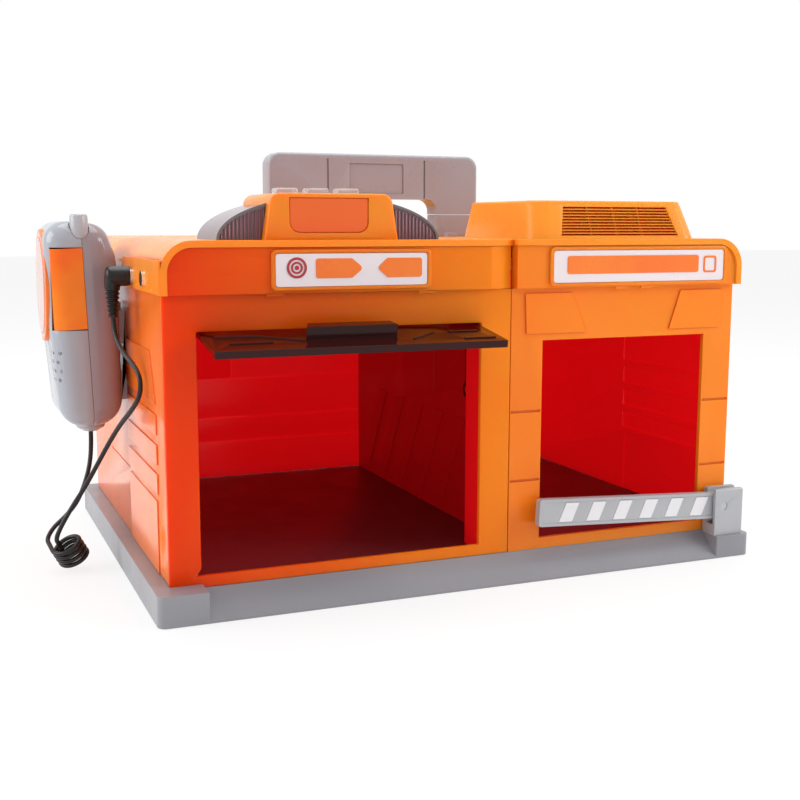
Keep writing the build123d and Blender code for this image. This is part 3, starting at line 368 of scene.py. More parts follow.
BLACK_GASKET = plastic("dark_lamp_gasket", (0.13, 0.11, 0.12), (0.06, 0.05, 0.055), 0.08, haze=0.03,
                       shader_values={"Specular IOR Level": 0.9})
RIBS = plastic("smoky_lens_ribs", (0.26, 0.115, 0.15), (0.20, 0.08, 0.11), 0.12, haze=0.05,
               shader_values={"Transmission Weight": 0.25})
SPEAKER = plastic("speaker_pressed_black", (0.03, 0.03, 0.032), (0.02, 0.02, 0.022), 0.5)
BOARD = plastic("green_circuit_board", (0.02, 0.12, 0.05), (0.015, 0.08, 0.035), 0.35)
LABEL = plastic("white_sign_plate", (0.80, 0.72, 0.74), (0.74, 0.64, 0.67), 0.22, haze=0.06)
STRIPE = plastic("white_barrier_stripe", (0.78, 0.78, 0.80), (0.7, 0.7, 0.73), 0.3)
CORD = plastic("black_cord_jacket", (0.016, 0.013, 0.014), (0.009, 0.008, 0.009), 0.22,
               grain=2600.0, height=0.35, shader_values={"Specular IOR Level": 0.3})
ORANGE_TRIM = plastic("orange_trim", (0.88, 0.20, 0.015), (0.85, 0.13, 0.008), 0.2, tone=0.6,
                      tone_scale=30.0)
SIGN_RED = plastic("deep_red_print", (0.42, 0.02, 0.035), (0.34, 0.015, 0.03), 0.35, tone_scale=40.0)
TALK = plastic("orange_talk_panel", (0.88, 0.25, 0.012), (0.82, 0.07, 0.004), 0.13, haze=0.06, tone=0.9,
               tone_scale=22.0, shader_values={"Specular IOR Level": 0.25})
BADGE = plastic("pale_badge_field", (0.62, 0.46, 0.43), (0.56, 0.38, 0.35), 0.2, tone_scale=30.0)
STEEL = plastic("plain_steel_pin", (0.55, 0.55, 0.57), (0.42, 0.42, 0.44), 0.28,
                shader_values={"Metallic": 1.0})
CHROME = plastic("bright_socket_ring", (0.8, 0.79, 0.78), (0.7, 0.69, 0.68), 0.12,
                 shader_values={"Metallic": 1.0})

FINISH = {
    "base_tray": GREY_BASE, "base_screws": STEEL, "facade_left": ORANGE_FRONT_SHADED, "facade_right": ORANGE,
    "left_wall": ORANGE_SIDE, "right_wall": ORANGE_SIDE, "rear_wall": ORANGE,
    "partition": ORANGE_PARTITION_SHADED, "lift_door": SMOKE, "door_pins": STEEL, "roof_cover": ORANGE_ROOF,
    "battery_door": ORANGE_ROOF, "fascia_left": ORANGE_FRONT_SHADED, "fascia_right": ORANGE,
    "sign_left_frame": ORANGE, "sign_right_frame": ORANGE, "sign_left_plate": LABEL,
    "sign_right_plate": LABEL, "console_housing": ORANGE_ROOF, "console_front": DEEP_ORANGE,
    "console_button_left": CLEAR, "console_button_middle": CLEAR, "console_button_right": CLEAR,
    "switch_board": BOARD, "lamp_lens": LENS, "lamp_rim": BLACK_GASKET, "vent_housing": ORANGE_ROOF,
    "vent_louvres": ORANGE_ROOF, "speaker": SPEAKER, "handle_feet": GREY_HANDLE,
    "carry_handle": GREY_HANDLE, "power_switch": GREY_HANDLE, "barrier_post": GREY_BOOM,
    "barrier_arm": GREY_BOOM, "barrier_stripes": STRIPE, "barrier_pin": STEEL,
    "handset_inner": GREY_SET, "handset_outer": GREY_SET, "talk_bar": DEEP_ORANGE,
    "handset_badge": DEEP_ORANGE, "antenna_stub": GREY_STUB, "cord_gland": GREY_SET,
    "cradle": PALE_CRADLE, "jack_sockets": CHROME, "plug_body": BLACK, "strain_relief": BLACK,
    "cord_from_plug": CORD, "cord_from_handset": CORD, "cord_coil": CORD,
}


def dress(piece, material):
    """Give every material slot of a piece one finish."""
    if not piece.data.materials:
        piece.data.materials.append(material)
    for index in range(len(piece.data.materials)):
        piece.data.materials[index] = material


for node_name, finish in FINISH.items():
    dress(NODES[node_name], finish)

# ------------------------------------------------------------ modelling helpers
# Corners closer than these, in millimetres, are merged, and faces flatter than the angle are joined.
CAD_MERGE, RING_MERGE, FLAT_ANGLE = 0.004, 0.01, 0.6


def only(piece):
    """Make one piece the only selected and active one."""
    bpy.ops.object.select_all(action="DESELECT")
    piece.select_set(True)
    bpy.context.view_layer.objects.active = piece


def settle(piece):
    """Put a piece's place and size into its mesh, so that its object sits at the origin."""
    only(piece)
    bpy.ops.object.transform_apply(location=True, rotation=True, scale=True)
    return piece


def open_whole(piece):
    """Open one piece for editing, with its whole mesh selected."""
    only(piece)
    bpy.ops.object.mode_set(mode="EDIT")
    bpy.ops.mesh.select_all(action="SELECT")
    return piece


def close_edit(piece):
    """End the editing of a piece."""
    bpy.ops.object.mode_set(mode="OBJECT")
    return piece


def face_outward(piece):
    """Turn all faces of the open piece outward and end its editing."""
    bpy.ops.mesh.select_all(action="SELECT")
    bpy.ops.mesh.normals_make_consistent(inside=False)
    return close_edit(piece)


def twin(name, source):
    """A copy of a CAD node with its own mesh, merged where corners coincide."""
    piece = open_whole(linked(name, source.data.copy()))
    bpy.ops.mesh.remove_doubles(threshold=CAD_MERGE * MM)
    return close_edit(piece)


def open_mesh(name, corners, faces):
    """A new piece from corners in millimetres and faces, opened for editing."""
    mesh = bpy.data.meshes.new(name)
    mesh.from_pydata([(x * MM, y * MM, z * MM) for x, y, z in corners], [], faces)
    return open_whole(linked(name, mesh))


def filleted(corners, steps=8):
    """Outline of a polygon whose corners (across, up, radius) are rounded by arcs."""
    outline = []
    for index, (across, up, radius) in enumerate(corners):
        here = Vector((across, up))
        before = (Vector(corners[index - 1][:2]) - here).normalized()
        after = (Vector(corners[(index + 1) % len(corners)][:2]) - here).normalized()
        half = before.angle(after) / 2
        centre = here + (before + after).normalized() * (radius / math.sin(half))
        first = here + before * (radius / math.tan(half)) - centre
        last = here + after * (radius / math.tan(half)) - centre
        start = math.atan2(first.y, first.x)
        turn = (math.atan2(last.y, last.x) - start + math.pi) % (2 * math.pi) - math.pi
        for step in range(steps + 1):
            angle = start + turn * step / steps
            outline.append((centre.x + radius * math.cos(angle), centre.y + radius * math.sin(angle)))
    return outline


def slab(name, outline, y0, y1):
    """A closed slab: an outline seen from the front, extruded from y0 to y1, in millimetres."""
    piece = open_mesh(name, [(x, y0, z) for x, z in outline], [list(range(len(outline)))])
    bpy.ops.mesh.extrude_region_move(TRANSFORM_OT_translate={"value": (0, (y1 - y0) * MM, 0)})
    return face_outward(piece)


def domed_slab(name, outline, y0, y1, radius, steps=8):
    """A slab whose front and back rims are rounded by rings that draw in along the outline."""
    count = len(outline)
    spots = [Vector(spot) for spot in outline]
    inward = []
    for index in range(count):
        along = (spots[(index + 1) % count] - spots[index - 1]).normalized()
        inward.append(Vector((-along.y, along.x)))
    if sum(spots[i - 1].x * spots[i].y - spots[i].x * spots[i - 1].y for i in range(count)) < 0:
        inward = [-way for way in inward]
    quarter = [math.radians(90 * step / steps) for step in range(steps + 1)]
    rings = [(radius * (1 - math.sin(a)), y0 + radius * (1 - math.cos(a))) for a in quarter]
    rings += [(draw, y0 + y1 - y) for draw, y in reversed(rings)]
    corners = []
    for draw, y in rings:
        for i in range(count):
            x, z = spots[i] + inward[i] * draw
            corners.append((x, y, z))
    last = (len(rings) - 1) * count
    faces = []
    for low in range(0, last, count):
        high = low + count
        for i in range(count):
            beside = (i + 1) % count
            faces.append([low + i, low + beside, high + beside, high + i])
    faces += [list(range(count)), list(range(last, last + count))]
    piece = open_mesh(name, corners, faces)
    bpy.ops.mesh.remove_doubles(threshold=RING_MERGE * MM)
    return face_outward(piece)


def round_front(piece, front, offset, segments):
    """Bevel the rim of a slab's front face, which lies at y = front, in millimetres."""
    only(piece)
    bpy.ops.object.mode_set(mode="EDIT")
    bpy.ops.mesh.select_mode(type="EDGE")
    bpy.ops.mesh.select_all(action="DESELECT")
    bpy.ops.object.mode_set(mode="OBJECT")
    corners = piece.data.vertices
    for edge in piece.data.edges:
        edge.select = all(abs((corners[index].co / MM).y - front) < 0.01 for index in edge.vertices)
    bpy.ops.object.mode_set(mode="EDIT")
    bpy.ops.mesh.bevel(offset=offset * MM, segments=segments, profile=0.5, affect="EDGES",
                       clamp_overlap=False)
    return close_edit(piece)


def slice_off(piece, point, normal):
    """Cut a piece with a plane, drop what lies on the normal's side and close the cut."""
    open_whole(piece)
    bpy.ops.mesh.bisect(plane_co=Vector(point) * MM, plane_no=normal, use_fill=True, clear_outer=True,
                        threshold=0.00001)
    return close_edit(piece)


def boxed(name, low, high):
    """A block between two corners, in millimetres."""
    low, high = Vector(low), Vector(high)
    bpy.ops.object.select_all(action="DESELECT")
    bpy.ops.mesh.primitive_cube_add(size=1.0, location=(low + high) / 2 * MM)
    piece = bpy.context.object
    piece.name = name
    piece.scale = (high - low) * MM
    return settle(piece)


def turned(name, rings, centre, sides=40):
    """A turned body on an upright axis: rings of (radius, height) from bottom to top."""
    x, y = centre[0] * MM, centre[1] * MM
    bpy.ops.object.select_all(action="DESELECT")
    bpy.ops.mesh.primitive_circle_add(vertices=sides, radius=rings[0][0] * MM, fill_type="NGON",
                                      location=(x, y, rings[0][1] * MM))
    piece = settle(bpy.context.object)
    piece.name = name
    bpy.ops.object.mode_set(mode="EDIT")
    bpy.ops.mesh.select_mode(type="FACE")
    bpy.ops.mesh.select_all(action="SELECT")
    for (radius, height), (next_radius, next_height) in zip(rings, rings[1:]):
        rise = (next_height - height) * MM
        scale = next_radius / radius
        bpy.ops.mesh.extrude_region_move(TRANSFORM_OT_translate={"value": (0, 0, rise)})
        bpy.ops.transform.resize(value=(scale, scale, 1.0), center_override=(x, y, next_height * MM))
    return face_outward(piece)


def laid(piece, degrees, axis, place):
    """Turn a piece about the origin, then set it down at its place, in metres."""
    only(piece)
    bpy.ops.transform.rotate(value=math.radians(degrees), orient_axis=axis, center_override=(0, 0, 0))
    piece.location = place
    return settle(piece)


def combine(piece, tool, operation="DIFFERENCE"):
    """Cut a tool out of a piece, or join it on, and drop the tool."""
    join = piece.modifiers.new("join", "BOOLEAN")
    join.operation = operation
    join.solver = "EXACT"
    join.object = tool
    only(piece)
    bpy.ops.object.modifier_apply(modifier=join.name)
    bpy.data.objects.remove(tool)
    return piece


def fine_edges(piece, width, segments=2, angle=38, smooth=22):
    """Small rounded edges that catch the light, and smooth shading between them."""
    open_whole(piece)
    bpy.ops.mesh.dissolve_limited(angle_limit=math.radians(FLAT_ANGLE))
    close_edit(piece)
    bevel = piece.modifiers.new("fine_edges", "BEVEL")
    bevel.width = width * MM
    bevel.segments = segments
    bevel.limit_method = "ANGLE"
    bevel.angle_limit = math.radians(angle)
    bpy.ops.object.modifier_apply(modifier=bevel.name)
    bpy.ops.object.shade_smooth_by_angle(angle=math.radians(smooth))
    return piece


def put(piece, finish, body, slot, *nodes):
    """Give a new piece its finish and its body, and hide the CAD nodes that it stands for; the slot is not
    used.
    """
    piece.data.materials.clear()
    dress(piece, finish)
    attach(piece, body)
    if nodes:
        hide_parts(*nodes)


# ------------------------------------------------------------ the handset, in millimetres
SET_IN, SET_OUT, SET_LOW, SET_HIGH = -152.6, -187.6, 73.2, 174.2
SET_Y0, SET_Y1, SET_MID_Y, SET_ROUND = -27.3, 24.4, -1.5, 9.4
SET_OUTLINE = [(SET_IN, SET_LOW + 1.5, 13.0), (SET_IN - 0.6, 156.0, 34.0), (-158.8, 172.0, 10.5),
               (-171.0, SET_HIGH, 30.0), (SET_OUT, SET_HIGH - 0.4, 10.0), (SET_OUT + 0.2, 140.0, 60.0),
               (SET_OUT + 5.2, SET_LOW, 12.0)]
SET_PART_AT, SET_PART_LEAN, PARTING_GAP = (-168.9, 0.0, 120.0), (1.0, 0.0, 0.032), 0.22

TALK_X0, TALK_X1, TALK_Z0, TALK_Z1 = -184.9, -169.75, 122.3, 161.2
TALK_MID_X, TALK_MID_Z, TALK_BACK = -177, 142.0, -17.6
TALK_SWELL, TALK_SWELL_FROM = (1.006, 1.008, 1.0), (-0.170, SET_MID_Y * MM, 0.123)
POCKET_LOW, POCKET_HIGH = (TALK_X0 - 0.3, -40, TALK_Z0 - 0.3), (-160, -16.2, TALK_Z1 + 0.5)

HOLE_ROWS, HOLE_COLUMNS, HOLE_RADIUS, HOLE_REACH = (111.0, 106.6, 102.2, 97.8), 3, 0.95, 4.0
HOLE_X, HOLE_Y, HOLE_STEP, HOLE_STAGGER = -185.5, -24.6, 4.4, 1.6

HOOK_BACK, HOOK_Y0, HOOK_Y1 = -150.1, SET_MID_Y - 6, SET_MID_Y + 14
HOOK_ROOT, HOOK_LOW, HOOK_HIGH = SET_IN - 1.5, 131.2, 134.0
TONGUE_FRONT, TONGUE_LOW, TONGUE_HIGH = -151.0, 119.0, 132.0

AERIAL_AT, AERIAL_RADIUS, AERIAL_MID = (-171.1, -23.6), 4.5, 168.7
AERIAL_TOP = [(4.2, 176.4), (3.9, 177.2), (3.2, 177.5)]
SEAT_GAP, SEAT_MOUTH = 0.25, (4.65, 190.0)
CONE_AT = (-166.3, SET_MID_Y)
CONE_RINGS = [(2.5, 68.55), (3.6, 68.7), (6.8, 70.6), (7.7, 72.6), (7.9, 76.0)]
BADGE_AT, BADGE_BACK, BADGE_STEPS = (SET_OUT + 0.9, SET_MID_Y, 142.8), -3.0, 56


def handset_form(name):
    """The handset's whole rounded body."""
    return domed_slab(name, filleted(SET_OUTLINE), SET_Y0, SET_Y1, SET_ROUND)


def talk_panel():
    """Press-to-talk panel: a piece of the near flank's round, a little proud of it."""
    panel = open_whole(handset_form("talk_panel"))
    bpy.ops.transform.resize(value=TALK_SWELL, center_override=TALK_SWELL_FROM)
    close_edit(panel)
    slice_off(panel, (TALK_MID_X, 0, TALK_Z0), (0.03, 0, -1))
    slice_off(panel, (TALK_MID_X, 0, TALK_Z1), (-0.04, 0, 1))
    slice_off(panel, (TALK_X0, 0, TALK_MID_Z), (-1, 0, -0.03))
    slice_off(panel, (TALK_X1, 0, TALK_MID_Z), (1, 0, 0.032))
    slice_off(panel, (0, TALK_BACK, 0), (0, 1, 0))
    return fine_edges(panel, 0.35)


def aerial_foot(grow):
    """Rings of the aerial's round foot, from its lowest ring up, grown for its seat."""
    radius = AERIAL_RADIUS + grow
    return [(radius * math.sin(math.radians(a)), AERIAL_MID - radius * math.cos(math.radians(a)))
            for a in range(10, 91, 16)]


def cut_microphone_holes(shell):
    """Staggered rows of holes in the outer face."""
    for row, height in enumerate(HOLE_ROWS):
        for column in range(HOLE_COLUMNS):
            along = HOLE_Y + HOLE_STEP * column + HOLE_STAGGER * (row % 2)
            hole = turned("hole", [(HOLE_RADIUS, -HOLE_REACH), (HOLE_RADIUS, HOLE_REACH)], (0, 0), 14)
            combine(shell, laid(hole, 90, "Y", Vector((HOLE_X, along, height)) * MM))


def add_hook(shell):
    """The hook that hangs in the cradle: a short shelf with a tongue down from its end."""
    hook = boxed("hook", (HOOK_ROOT, HOOK_Y0, HOOK_LOW), (HOOK_BACK, HOOK_Y1, HOOK_HIGH))
    tongue = boxed("tongue", (TONGUE_FRONT, HOOK_Y0, TONGUE_LOW), (HOOK_BACK, HOOK_Y1, TONGUE_HIGH))
    combine(shell, combine(hook, tongue, "UNION"), "UNION")


def handset_shells():
    """Outer half with pocket and holes, inner half with the hook, and the aerial's seat in both."""
    leaning = Vector(SET_PART_LEAN)
    outer = slice_off(handset_form("handset_outer_half"),
                      Vector(SET_PART_AT) - leaning * PARTING_GAP, leaning)
    inner = slice_off(handset_form("handset_inner_half"), SET_PART_AT, -leaning)
    combine(outer, boxed("pocket", POCKET_LOW, POCKET_HIGH))
    cut_microphone_holes(outer)
    for half in (outer, inner):
        combine(half, turned("seat", aerial_foot(SEAT_GAP) + [SEAT_MOUTH], AERIAL_AT))
        fine_edges(half, 0.3, angle=50, smooth=30)
    add_hook(inner)
    return outer, inner


def handset_aerial():
    """Stub aerial with a round foot, a slight taper and a flat top."""
    return fine_edges(turned("handset_aerial", aerial_foot(0.0) + AERIAL_TOP, AERIAL_AT), 0.2)


def cord_cone():
    """Wide shallow cone that leads the cord out of the handset."""
    return fine_edges(turned("cord_cone", CONE_RINGS, CONE_AT), 0.2)


def badge_oval(name, half_wide, half_tall, proud, rim):
    """A bare oval plate on the handset's outer face, with a rounded rim."""
    angles = [2 * math.pi * step / BADGE_STEPS for step in range(BADGE_STEPS)]
    outline = [(half_wide * math.cos(a), half_tall * math.sin(a)) for a in angles]
    oval = round_front(slab(name, outline, BADGE_BACK, proud), proud, rim, 3)
    return laid(oval, -90, "Z", Vector(BADGE_AT) * MM)


handset_outer, handset_inner = handset_shells()
put(handset_outer, GREY_SET, "handset", "grey_plastic", "handset_outer")
put(handset_inner, GREY_SET_BACK_REFLECTING, "handset", "grey_plastic", "handset_inner")
put(talk_panel(), TALK, "talk", "orange_plastic", "talk_bar")
put(handset_aerial(), GREY_STUB, "handset", "light_grey", "antenna_stub")
put(cord_cone(), GREY_SET, "handset", "grey_plastic", "cord_gland")
put(badge_oval("badge_rim", 21.6, 27.6, 0.9, 0.45), ORANGE_TRIM, "handset", "orange_plastic", "handset_badge")
put(badge_oval("badge_groove", 19.9, 25.8, 1.05, 0.1), BADGE, "handset", "white_label")
put(badge_oval("badge_inner_rim", 18.3, 24.0, 1.3, 0.2), ORANGE_TRIM, "handset", "orange_plastic")
put(badge_oval("badge_field", 17.6, 23.2, 1.5, 0.3), BADGE, "handset", "white_label")

# ------------------------------------------------------------ the shells' rounded edges
# Width of each moulded part's edges, in millimetres.
SOFTENED = {
    "facade_left": 0.7, "facade_right": 0.6, "left_wall": 0.5, "right_wall": 0.5, "rear_wall": 0.5,
    "partition": 0.5, "fascia_left": 0.6, "fascia_right": 0.6, "sign_left_frame": 0.45,
    "sign_right_frame": 0.45, "console_front": 0.3, "base_tray": 0.7, "carry_handle": 0.8,
    "handle_feet": 0.5, "barrier_post": 0.5, "barrier_arm": 0.4, "lift_door": 0.5, "cradle": 0.4,
    "battery_door": 0.4, "power_switch": 0.3, "lamp_rim": 0.3, "console_housing": 0.45,
    "vent_housing": 0.5, "roof_cover": 0.5,
}
MOVING = {"barrier_arm": "boom", "lift_door": "door", "power_switch": "switch"}
SLOT_OF_FINISH = {
    "orange_shell_plastic": "orange_plastic", "orange_roof_plastic": "orange_plastic",
    "orange_front_shaded_plastic": "orange_plastic", "orange_side_plastic": "orange_plastic",
    "orange_partition_shaded_plastic": "orange_plastic", "deep_orange_inlay": "deep_orange",
    "grey_base_plastic": "dark_grey", "mauve_grey_handle": "light_grey",
    "pale_cradle_plastic": "light_grey", "grey_barrier_plastic": "grey_plastic",
    "smoky_door_plastic": "smoke_plastic", "dark_lamp_gasket": "black_plastic",
}


def soften_shells():
    """Copies of the moulded parts with fine rounded edges, each in the place of its node."""
    for node, width in SOFTENED.items():
        piece = fine_edges(twin(node + "_moulded", NODES[node]), width)
        put(piece, FINISH[node], MOVING.get(node, "garage"), SLOT_OF_FINISH[FINISH[node].name], node)


soften_shells()

# ------------------------------------------------------------ signs, in millimetres
SIGN_BACK, SIGN_PROUD, SIGN_RIM = -111.1, -111.55, 0.12
BAR_LOW, BAR_MID, BAR_HIGH = 149.2, 153.5, 157.9
BAR_CORNER, BAR_SHOULDER, BAR_TIP = 1.2, 0.8, 1.5
EMBLEM_X, EMBLEM_Z = -89.8, 153.9


def oblong(x0, z0, x1, z1, radius):
    """Corners of an upright rectangle, each with the same radius."""
    return [(x0, z0, radius), (x1, z0, radius), (x1, z1, radius), (x0, z1, radius)]


def sign_plate(name, corners, finish, slot, rim=SIGN_RIM):
    """A thin raised field on a sign plate."""
    field = slab(name, filleted(corners, 5), SIGN_PROUD, SIGN_BACK)
    round_front(field, SIGN_PROUD, rim, 2)
    put(fine_edges(field, 0.03, 1), finish, "garage", slot)


def sign_ring(name, radius, width):
    """A flat ring round the emblem's middle: turned upright, then laid against its plate."""
    bore = radius - width
    ring = turned(name, [(radius, SIGN_PROUD), (radius, SIGN_BACK)], (0, 0), 48)
    combine(ring, turned("bore", [(bore, SIGN_PROUD - 2), (bore, SIGN_BACK + 2)], (0, 0), 48))
    laid(ring, 90, "X", (EMBLEM_X * MM, 0, EMBLEM_Z * MM))
    front = min(corner.co.y for corner in ring.data.vertices)
    ring.location = (0, SIGN_PROUD * MM - front, 0)
    settle(ring)
    put(fine_edges(ring, 0.06, 1), SIGN_RED, "garage", "deep_orange")


def sign_box():
    """An empty rounded frame at the end of the right sign."""
    outer = filleted(oblong(126.1, 149.0, 133.9, 157.4, 1.3), 5)
    inner = filleted(oblong(127.0, 149.9, 133.0, 156.5, 0.8), 5)
    edge = slab("sign_box_edge", outer, SIGN_PROUD, SIGN_BACK)
    combine(edge, slab("hole", inner, SIGN_PROUD - 1, SIGN_BACK + 1))
    put(fine_edges(edge, 0.05, 1), ORANGE_TRIM, "garage", "orange_plastic")


def signs():
    """Bare bars, plain rings round a disc, and an empty frame, where the signs carry their print."""
    sign_plate("sign_left_bar",
               [(-81.0, BAR_LOW, BAR_CORNER), (-64.0, BAR_LOW, BAR_SHOULDER), (-58.5, BAR_MID, BAR_TIP),
                (-64.0, BAR_HIGH, BAR_SHOULDER), (-81.0, BAR_HIGH, BAR_CORNER)],
               ORANGE_TRIM, "orange_plastic")
    sign_plate("sign_left_bar_end",
               [(-47.0, BAR_LOW, BAR_SHOULDER), (-30.0, BAR_LOW, BAR_CORNER), (-30.0, BAR_HIGH, BAR_CORNER),
                (-47.0, BAR_HIGH, BAR_SHOULDER), (-52.0, BAR_MID, BAR_TIP)],
               ORANGE_TRIM, "orange_plastic")
    sign_plate("sign_right_bar", oblong(46.7, BAR_LOW, 123.0, BAR_HIGH, BAR_CORNER),
               ORANGE_TRIM, "orange_plastic")
    sign_ring("emblem_ring", 4.6, 1.1)
    sign_ring("emblem_inner_ring", 2.7, 0.9)
    sign_plate("emblem_disc", oblong(EMBLEM_X - 1, EMBLEM_Z - 1, EMBLEM_X + 1, EMBLEM_Z + 1, 0.95),
               SIGN_RED, "deep_orange", 0.08)
    sign_box()


signs()

# ------------------------------------------------------------ the lamp's ribs, in millimetres
LAMP_MID, LAMP_HALF, LAMP_RISE, LAMP_FRONT, LAMP_FOOT = -69.5, 51.4, 17.9, -98.55, 166.0
CONSOLE_SIDE = 27.2
RIB_STEP, RIB_RADIUS, RIB_SIDES, RIB_SMOOTH = 1.75, 0.62, 10, 50
RIB_LIFT, RIB_GAP, RIB_LEAST = 0.1, 0.3, 1.2
RIB_TIP, RIB_TIP_SHARE = 0.4, 0.6


def lamp_ribs():
    """Fine upright ribs on the lamp's front at both sides of the console, cut to its arch."""
    count = int(LAMP_HALF / RIB_STEP)
    pieces = []
    for index in range(-count, count + 1):
        across = index * RIB_STEP
        top = LAMP_RISE * math.sqrt(max(0.0, 1 - (across / LAMP_HALF) ** 2)) - RIB_GAP
        if abs(across) < CONSOLE_SIDE or top < RIB_LEAST:
            continue
        rings = [(RIB_RADIUS, LAMP_FOOT + RIB_LIFT), (RIB_RADIUS, LAMP_FOOT + top - RIB_TIP),
                 (RIB_RADIUS * RIB_TIP_SHARE, LAMP_FOOT + top)]
        pieces.append(turned("rib", rings, (LAMP_MID + across, LAMP_FRONT), RIB_SIDES))
    bpy.ops.object.select_all(action="DESELECT")
    for rib in pieces:
        rib.select_set(True)
    ribs = pieces[0]
    bpy.context.view_layer.objects.active = ribs
    bpy.ops.object.join()
    ribs.name = "lamp_ribs"
    only(ribs)
    bpy.ops.object.shade_smooth_by_angle(angle=math.radians(RIB_SMOOTH))
    put(ribs, RIBS, "garage", "smoke_lens")


lamp_ribs()

# ------------------------------------------------------------ the handset's cord
# Both runs are control points in millimetres: down from the plug's boot, and up to the handset.
CORD_WIDTH = 2.3 * MM
PLUG_RUN = ((-159.5, -44.5, 129.4), (-159.5, -44.5, 122.5), (-157.9, -52.8, 114.5),
            (-153.6, -63.2, 108.2), (-152.2, -70.3, 103.0), (-152.6, -70.8, 95.4), (-154.9, -63.0, 88.0),
            (-158.4, -50.0, 79.5), (-162.0, -39.5, 70.0), (-167.0, -29.5, 57.0), (-172.8, -21.5, 43.5),
            (-180.0, -17.0, 31.5))
SET_RUN = ((-187.0, -2.6, 19.8), (-180.6, -3.8, 25.5), (-175.0, -5.4, 32.5), (-171.0, -6.0, 41.5),
           (-167.8, -4.6, 51.5), (-166.3, -1.5, 61.5), (-166.3, -1.5, 68.5))

# The leaning coil in millimetres, its lead down the bore as (angle, radius, height), and its way out.
COIL_FOOT = Vector((-177.6, -13.2, 4.95))
COIL_UP = Vector((-0.457, -0.264, 0.851)).normalized()
COIL_SIDE = Vector((0.851, 0.0, 0.457))
COIL_OUT = (COIL_SIDE - COIL_UP * COIL_SIDE.dot(COIL_UP)).normalized()
COIL_ROUND = COIL_UP.cross(COIL_OUT)
COIL_RADIUS, COIL_PITCH, COIL_TURNS, POINTS_PER_TURN = 6.9, 2.8, 4, 16
COIL_START, COIL_SWELL, LEAD_TURN = 180, 1.02, 0.25
COIL_LEAD = ((180, 2.7, 17.0), (180, 2.6, 12.6), (186, 3.2, 8.0), (200, 3.4, 4.2), (186, 4.2, 1.5),
             (150, 5.9, 0.45))
COIL_EXITS = (5.5, 11.8)


def coil_point(angle, radius, height):
    """A point of the leaning coil, in millimetres."""
    a = math.radians(angle)
    return COIL_FOOT + COIL_OUT * radius * math.cos(a) + COIL_ROUND * radius * math.sin(a) + COIL_UP * height


def coil_heading():
    """Direction of the top turn where the handset's run joins it."""
    fall = -COIL_PITCH / (2 * math.pi * COIL_RADIUS)
    return (-COIL_ROUND + COIL_UP * fall).normalized()


def coil_run():
    """Down the bore to the coil's foot, then up the turns from the lowest one and out."""
    points = [coil_point(*spot) for spot in COIL_LEAD]
    for step in range(int(POINTS_PER_TURN * (COIL_TURNS - LEAD_TURN)), -1, -1):
        turn = step / POINTS_PER_TURN
        points.append(coil_point(COIL_START + 360 * turn, COIL_RADIUS * COIL_SWELL,
                                 COIL_PITCH * (COIL_TURNS - turn)))
    top = coil_point(COIL_START, COIL_RADIUS, COIL_PITCH * COIL_TURNS)
    return points + [top - coil_heading() * way for way in COIL_EXITS]


CORD_POINTS = [Vector(p) * MM for p in (*PLUG_RUN, *coil_run(), *SET_RUN)]


def spline_curve(name, points, radius):
    """One smooth open spline through its control points, round in section."""
    data = bpy.data.curves.new(name, "CURVE")
    data.dimensions = "3D"
    data.resolution_u = 6
    spline = data.splines.new("NURBS")
    spline.points.add(len(points) - 1)
    for point, place in zip(spline.points, points):
        point.co = (*place, 1.0)
    spline.order_u = 3
    spline.use_endpoint_u = True
    data.bevel_depth = radius
    data.bevel_resolution = 5
    data.use_fill_caps = radius > 0
    return linked(name, data)


def handset_cord():
    """The whole cord, from the plug's boot through the coil to the handset's cone; gives its length."""
    line = spline_curve("cord_line", CORD_POINTS, 0.0)
    tube = spline_curve("cord_tube", CORD_POINTS, CORD_WIDTH / 2)
    bpy.context.view_layer.update()
    graph = bpy.context.evaluated_depsgraph_get()
    path = [v.co.copy() for v in bpy.data.meshes.new_from_object(line.evaluated_get(graph)).vertices]
    piece = linked("handset_cord", bpy.data.meshes.new_from_object(tube.evaluated_get(graph)))
    bpy.data.objects.remove(line)
    bpy.data.objects.remove(tube)
    for face in piece.data.polygons:
        face.use_smooth = True
    dress(piece, CORD)
    length = sum((b - a).length for a, b in zip(path, path[1:]))
    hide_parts("cord_from_plug", "cord_coil", "cord_from_handset")
    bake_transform(piece)
    return length


CORD_LENGTH = handset_cord()
print("cord length", round(CORD_LENGTH * 1000, 1), "mm")

# ------------------------------------------------------------ floor and light, in metres
FLOOR_SIZE, FLOOR_DROP = 12.0, 0.0002
FLOOR_COLOUR, FLOOR_ROUGHNESS, FLOOR_GLOW = (0.93, 0.93, 0.93, 1), 0.6, 0.8
ROOM_LIGHT, ROOM_SEEN = 0.62, 1.0


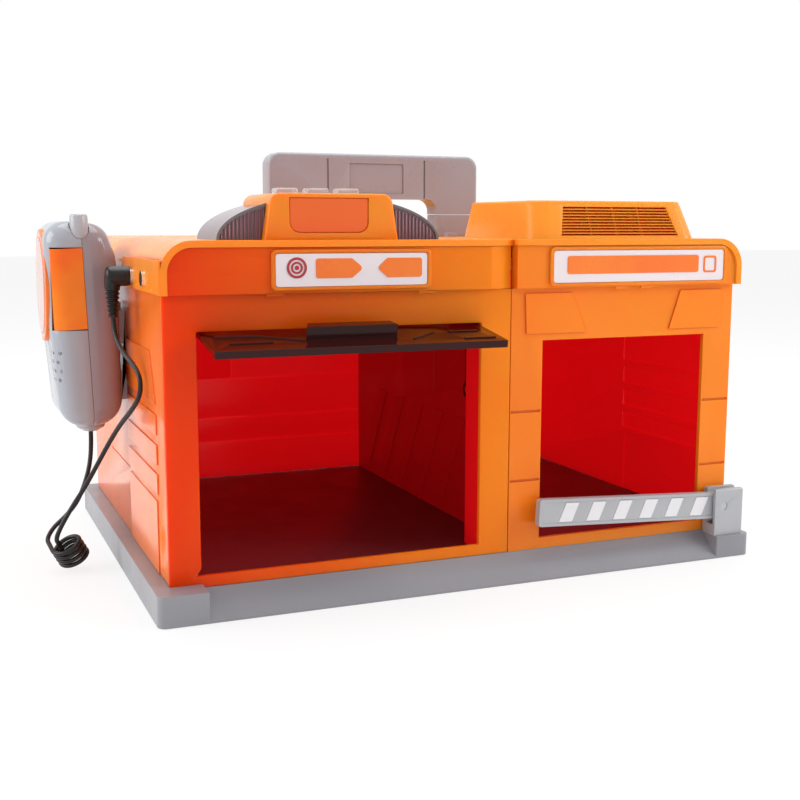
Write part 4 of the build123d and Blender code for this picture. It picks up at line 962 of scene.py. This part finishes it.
def stage_material():
    """White floor that stays white to the camera and keeps the toy's soft shadow."""
    material = bpy.data.materials.new("white_sweep")
    material.use_nodes = True
    tree = material.node_tree
    shader = tree.nodes["Principled BSDF"]
    shader.inputs["Base Color"].default_value = FLOOR_COLOUR
    shader.inputs["Roughness"].default_value = FLOOR_ROUGHNESS
    glow = tree.nodes.new("ShaderNodeEmission")
    glow.inputs["Strength"].default_value = 1.0
    rays = tree.nodes.new("ShaderNodeLightPath").outputs
    seen = reckon(tree, "MAXIMUM", rays["Is Camera Ray"], rays["Is Glossy Ray"])
    mixer = tree.nodes.new("ShaderNodeMixShader")
    tree.links.new(reckon(tree, "MULTIPLY", seen, FLOOR_GLOW), mixer.inputs[0])
    tree.links.new(shader.outputs[0], mixer.inputs[1])
    tree.links.new(glow.outputs[0], mixer.inputs[2])
    tree.links.new(mixer.outputs[0], tree.nodes["Material Output"].inputs["Surface"])
    return material


def white_room():
    """A white surrounding that looks brighter than the light it throws on the toy."""
    world = bpy.data.worlds.new("white_room")
    world.use_nodes = True
    bpy.context.scene.world = world
    tree = world.node_tree
    rays = tree.nodes.new("ShaderNodeLightPath").outputs
    seen = reckon(tree, "MAXIMUM", rays["Is Camera Ray"], rays["Is Glossy Ray"])
    seen = reckon(tree, "MAXIMUM", seen, rays["Is Transmission Ray"])
    walls = tree.nodes["Background"]
    walls.inputs["Color"].default_value = (1, 1, 1, 1)
    tree.links.new(spread(tree, seen, 0.0, 1.0, ROOM_LIGHT, ROOM_SEEN), walls.inputs["Strength"])


def softbox(name, place, aim, width, height, watts):
    """A large soft lamp that points at a spot."""
    data = bpy.data.lights.new(name, "AREA")
    data.shape = "RECTANGLE"
    data.size = width
    data.size_y = height
    data.energy = watts
    lamp = linked(name, data)
    lamp.location = place
    lamp.rotation_euler = (Vector(aim) - Vector(place)).to_track_quat("-Z", "Y").to_euler()


bpy.ops.object.select_all(action="DESELECT")
bpy.ops.mesh.primitive_plane_add(size=FLOOR_SIZE, location=(0, 0, -FLOOR_DROP))
floor = bpy.context.object
floor.name = "floor"
floor.data.materials.append(stage_material())

white_room()
softbox("top_softbox", (0.1, 0.1, 1.3), (0, 0, 0.05), 1.2, 0.9, 11.0)
softbox("right_softbox", (1.1, -0.7, 0.6), (0.05, -0.05, 0.08), 0.6, 0.6, 7.0)
softbox("left_softbox", (-1.2, 0.1, 0.6), (-0.1, 0, 0.08), 0.8, 0.8, 8.5)
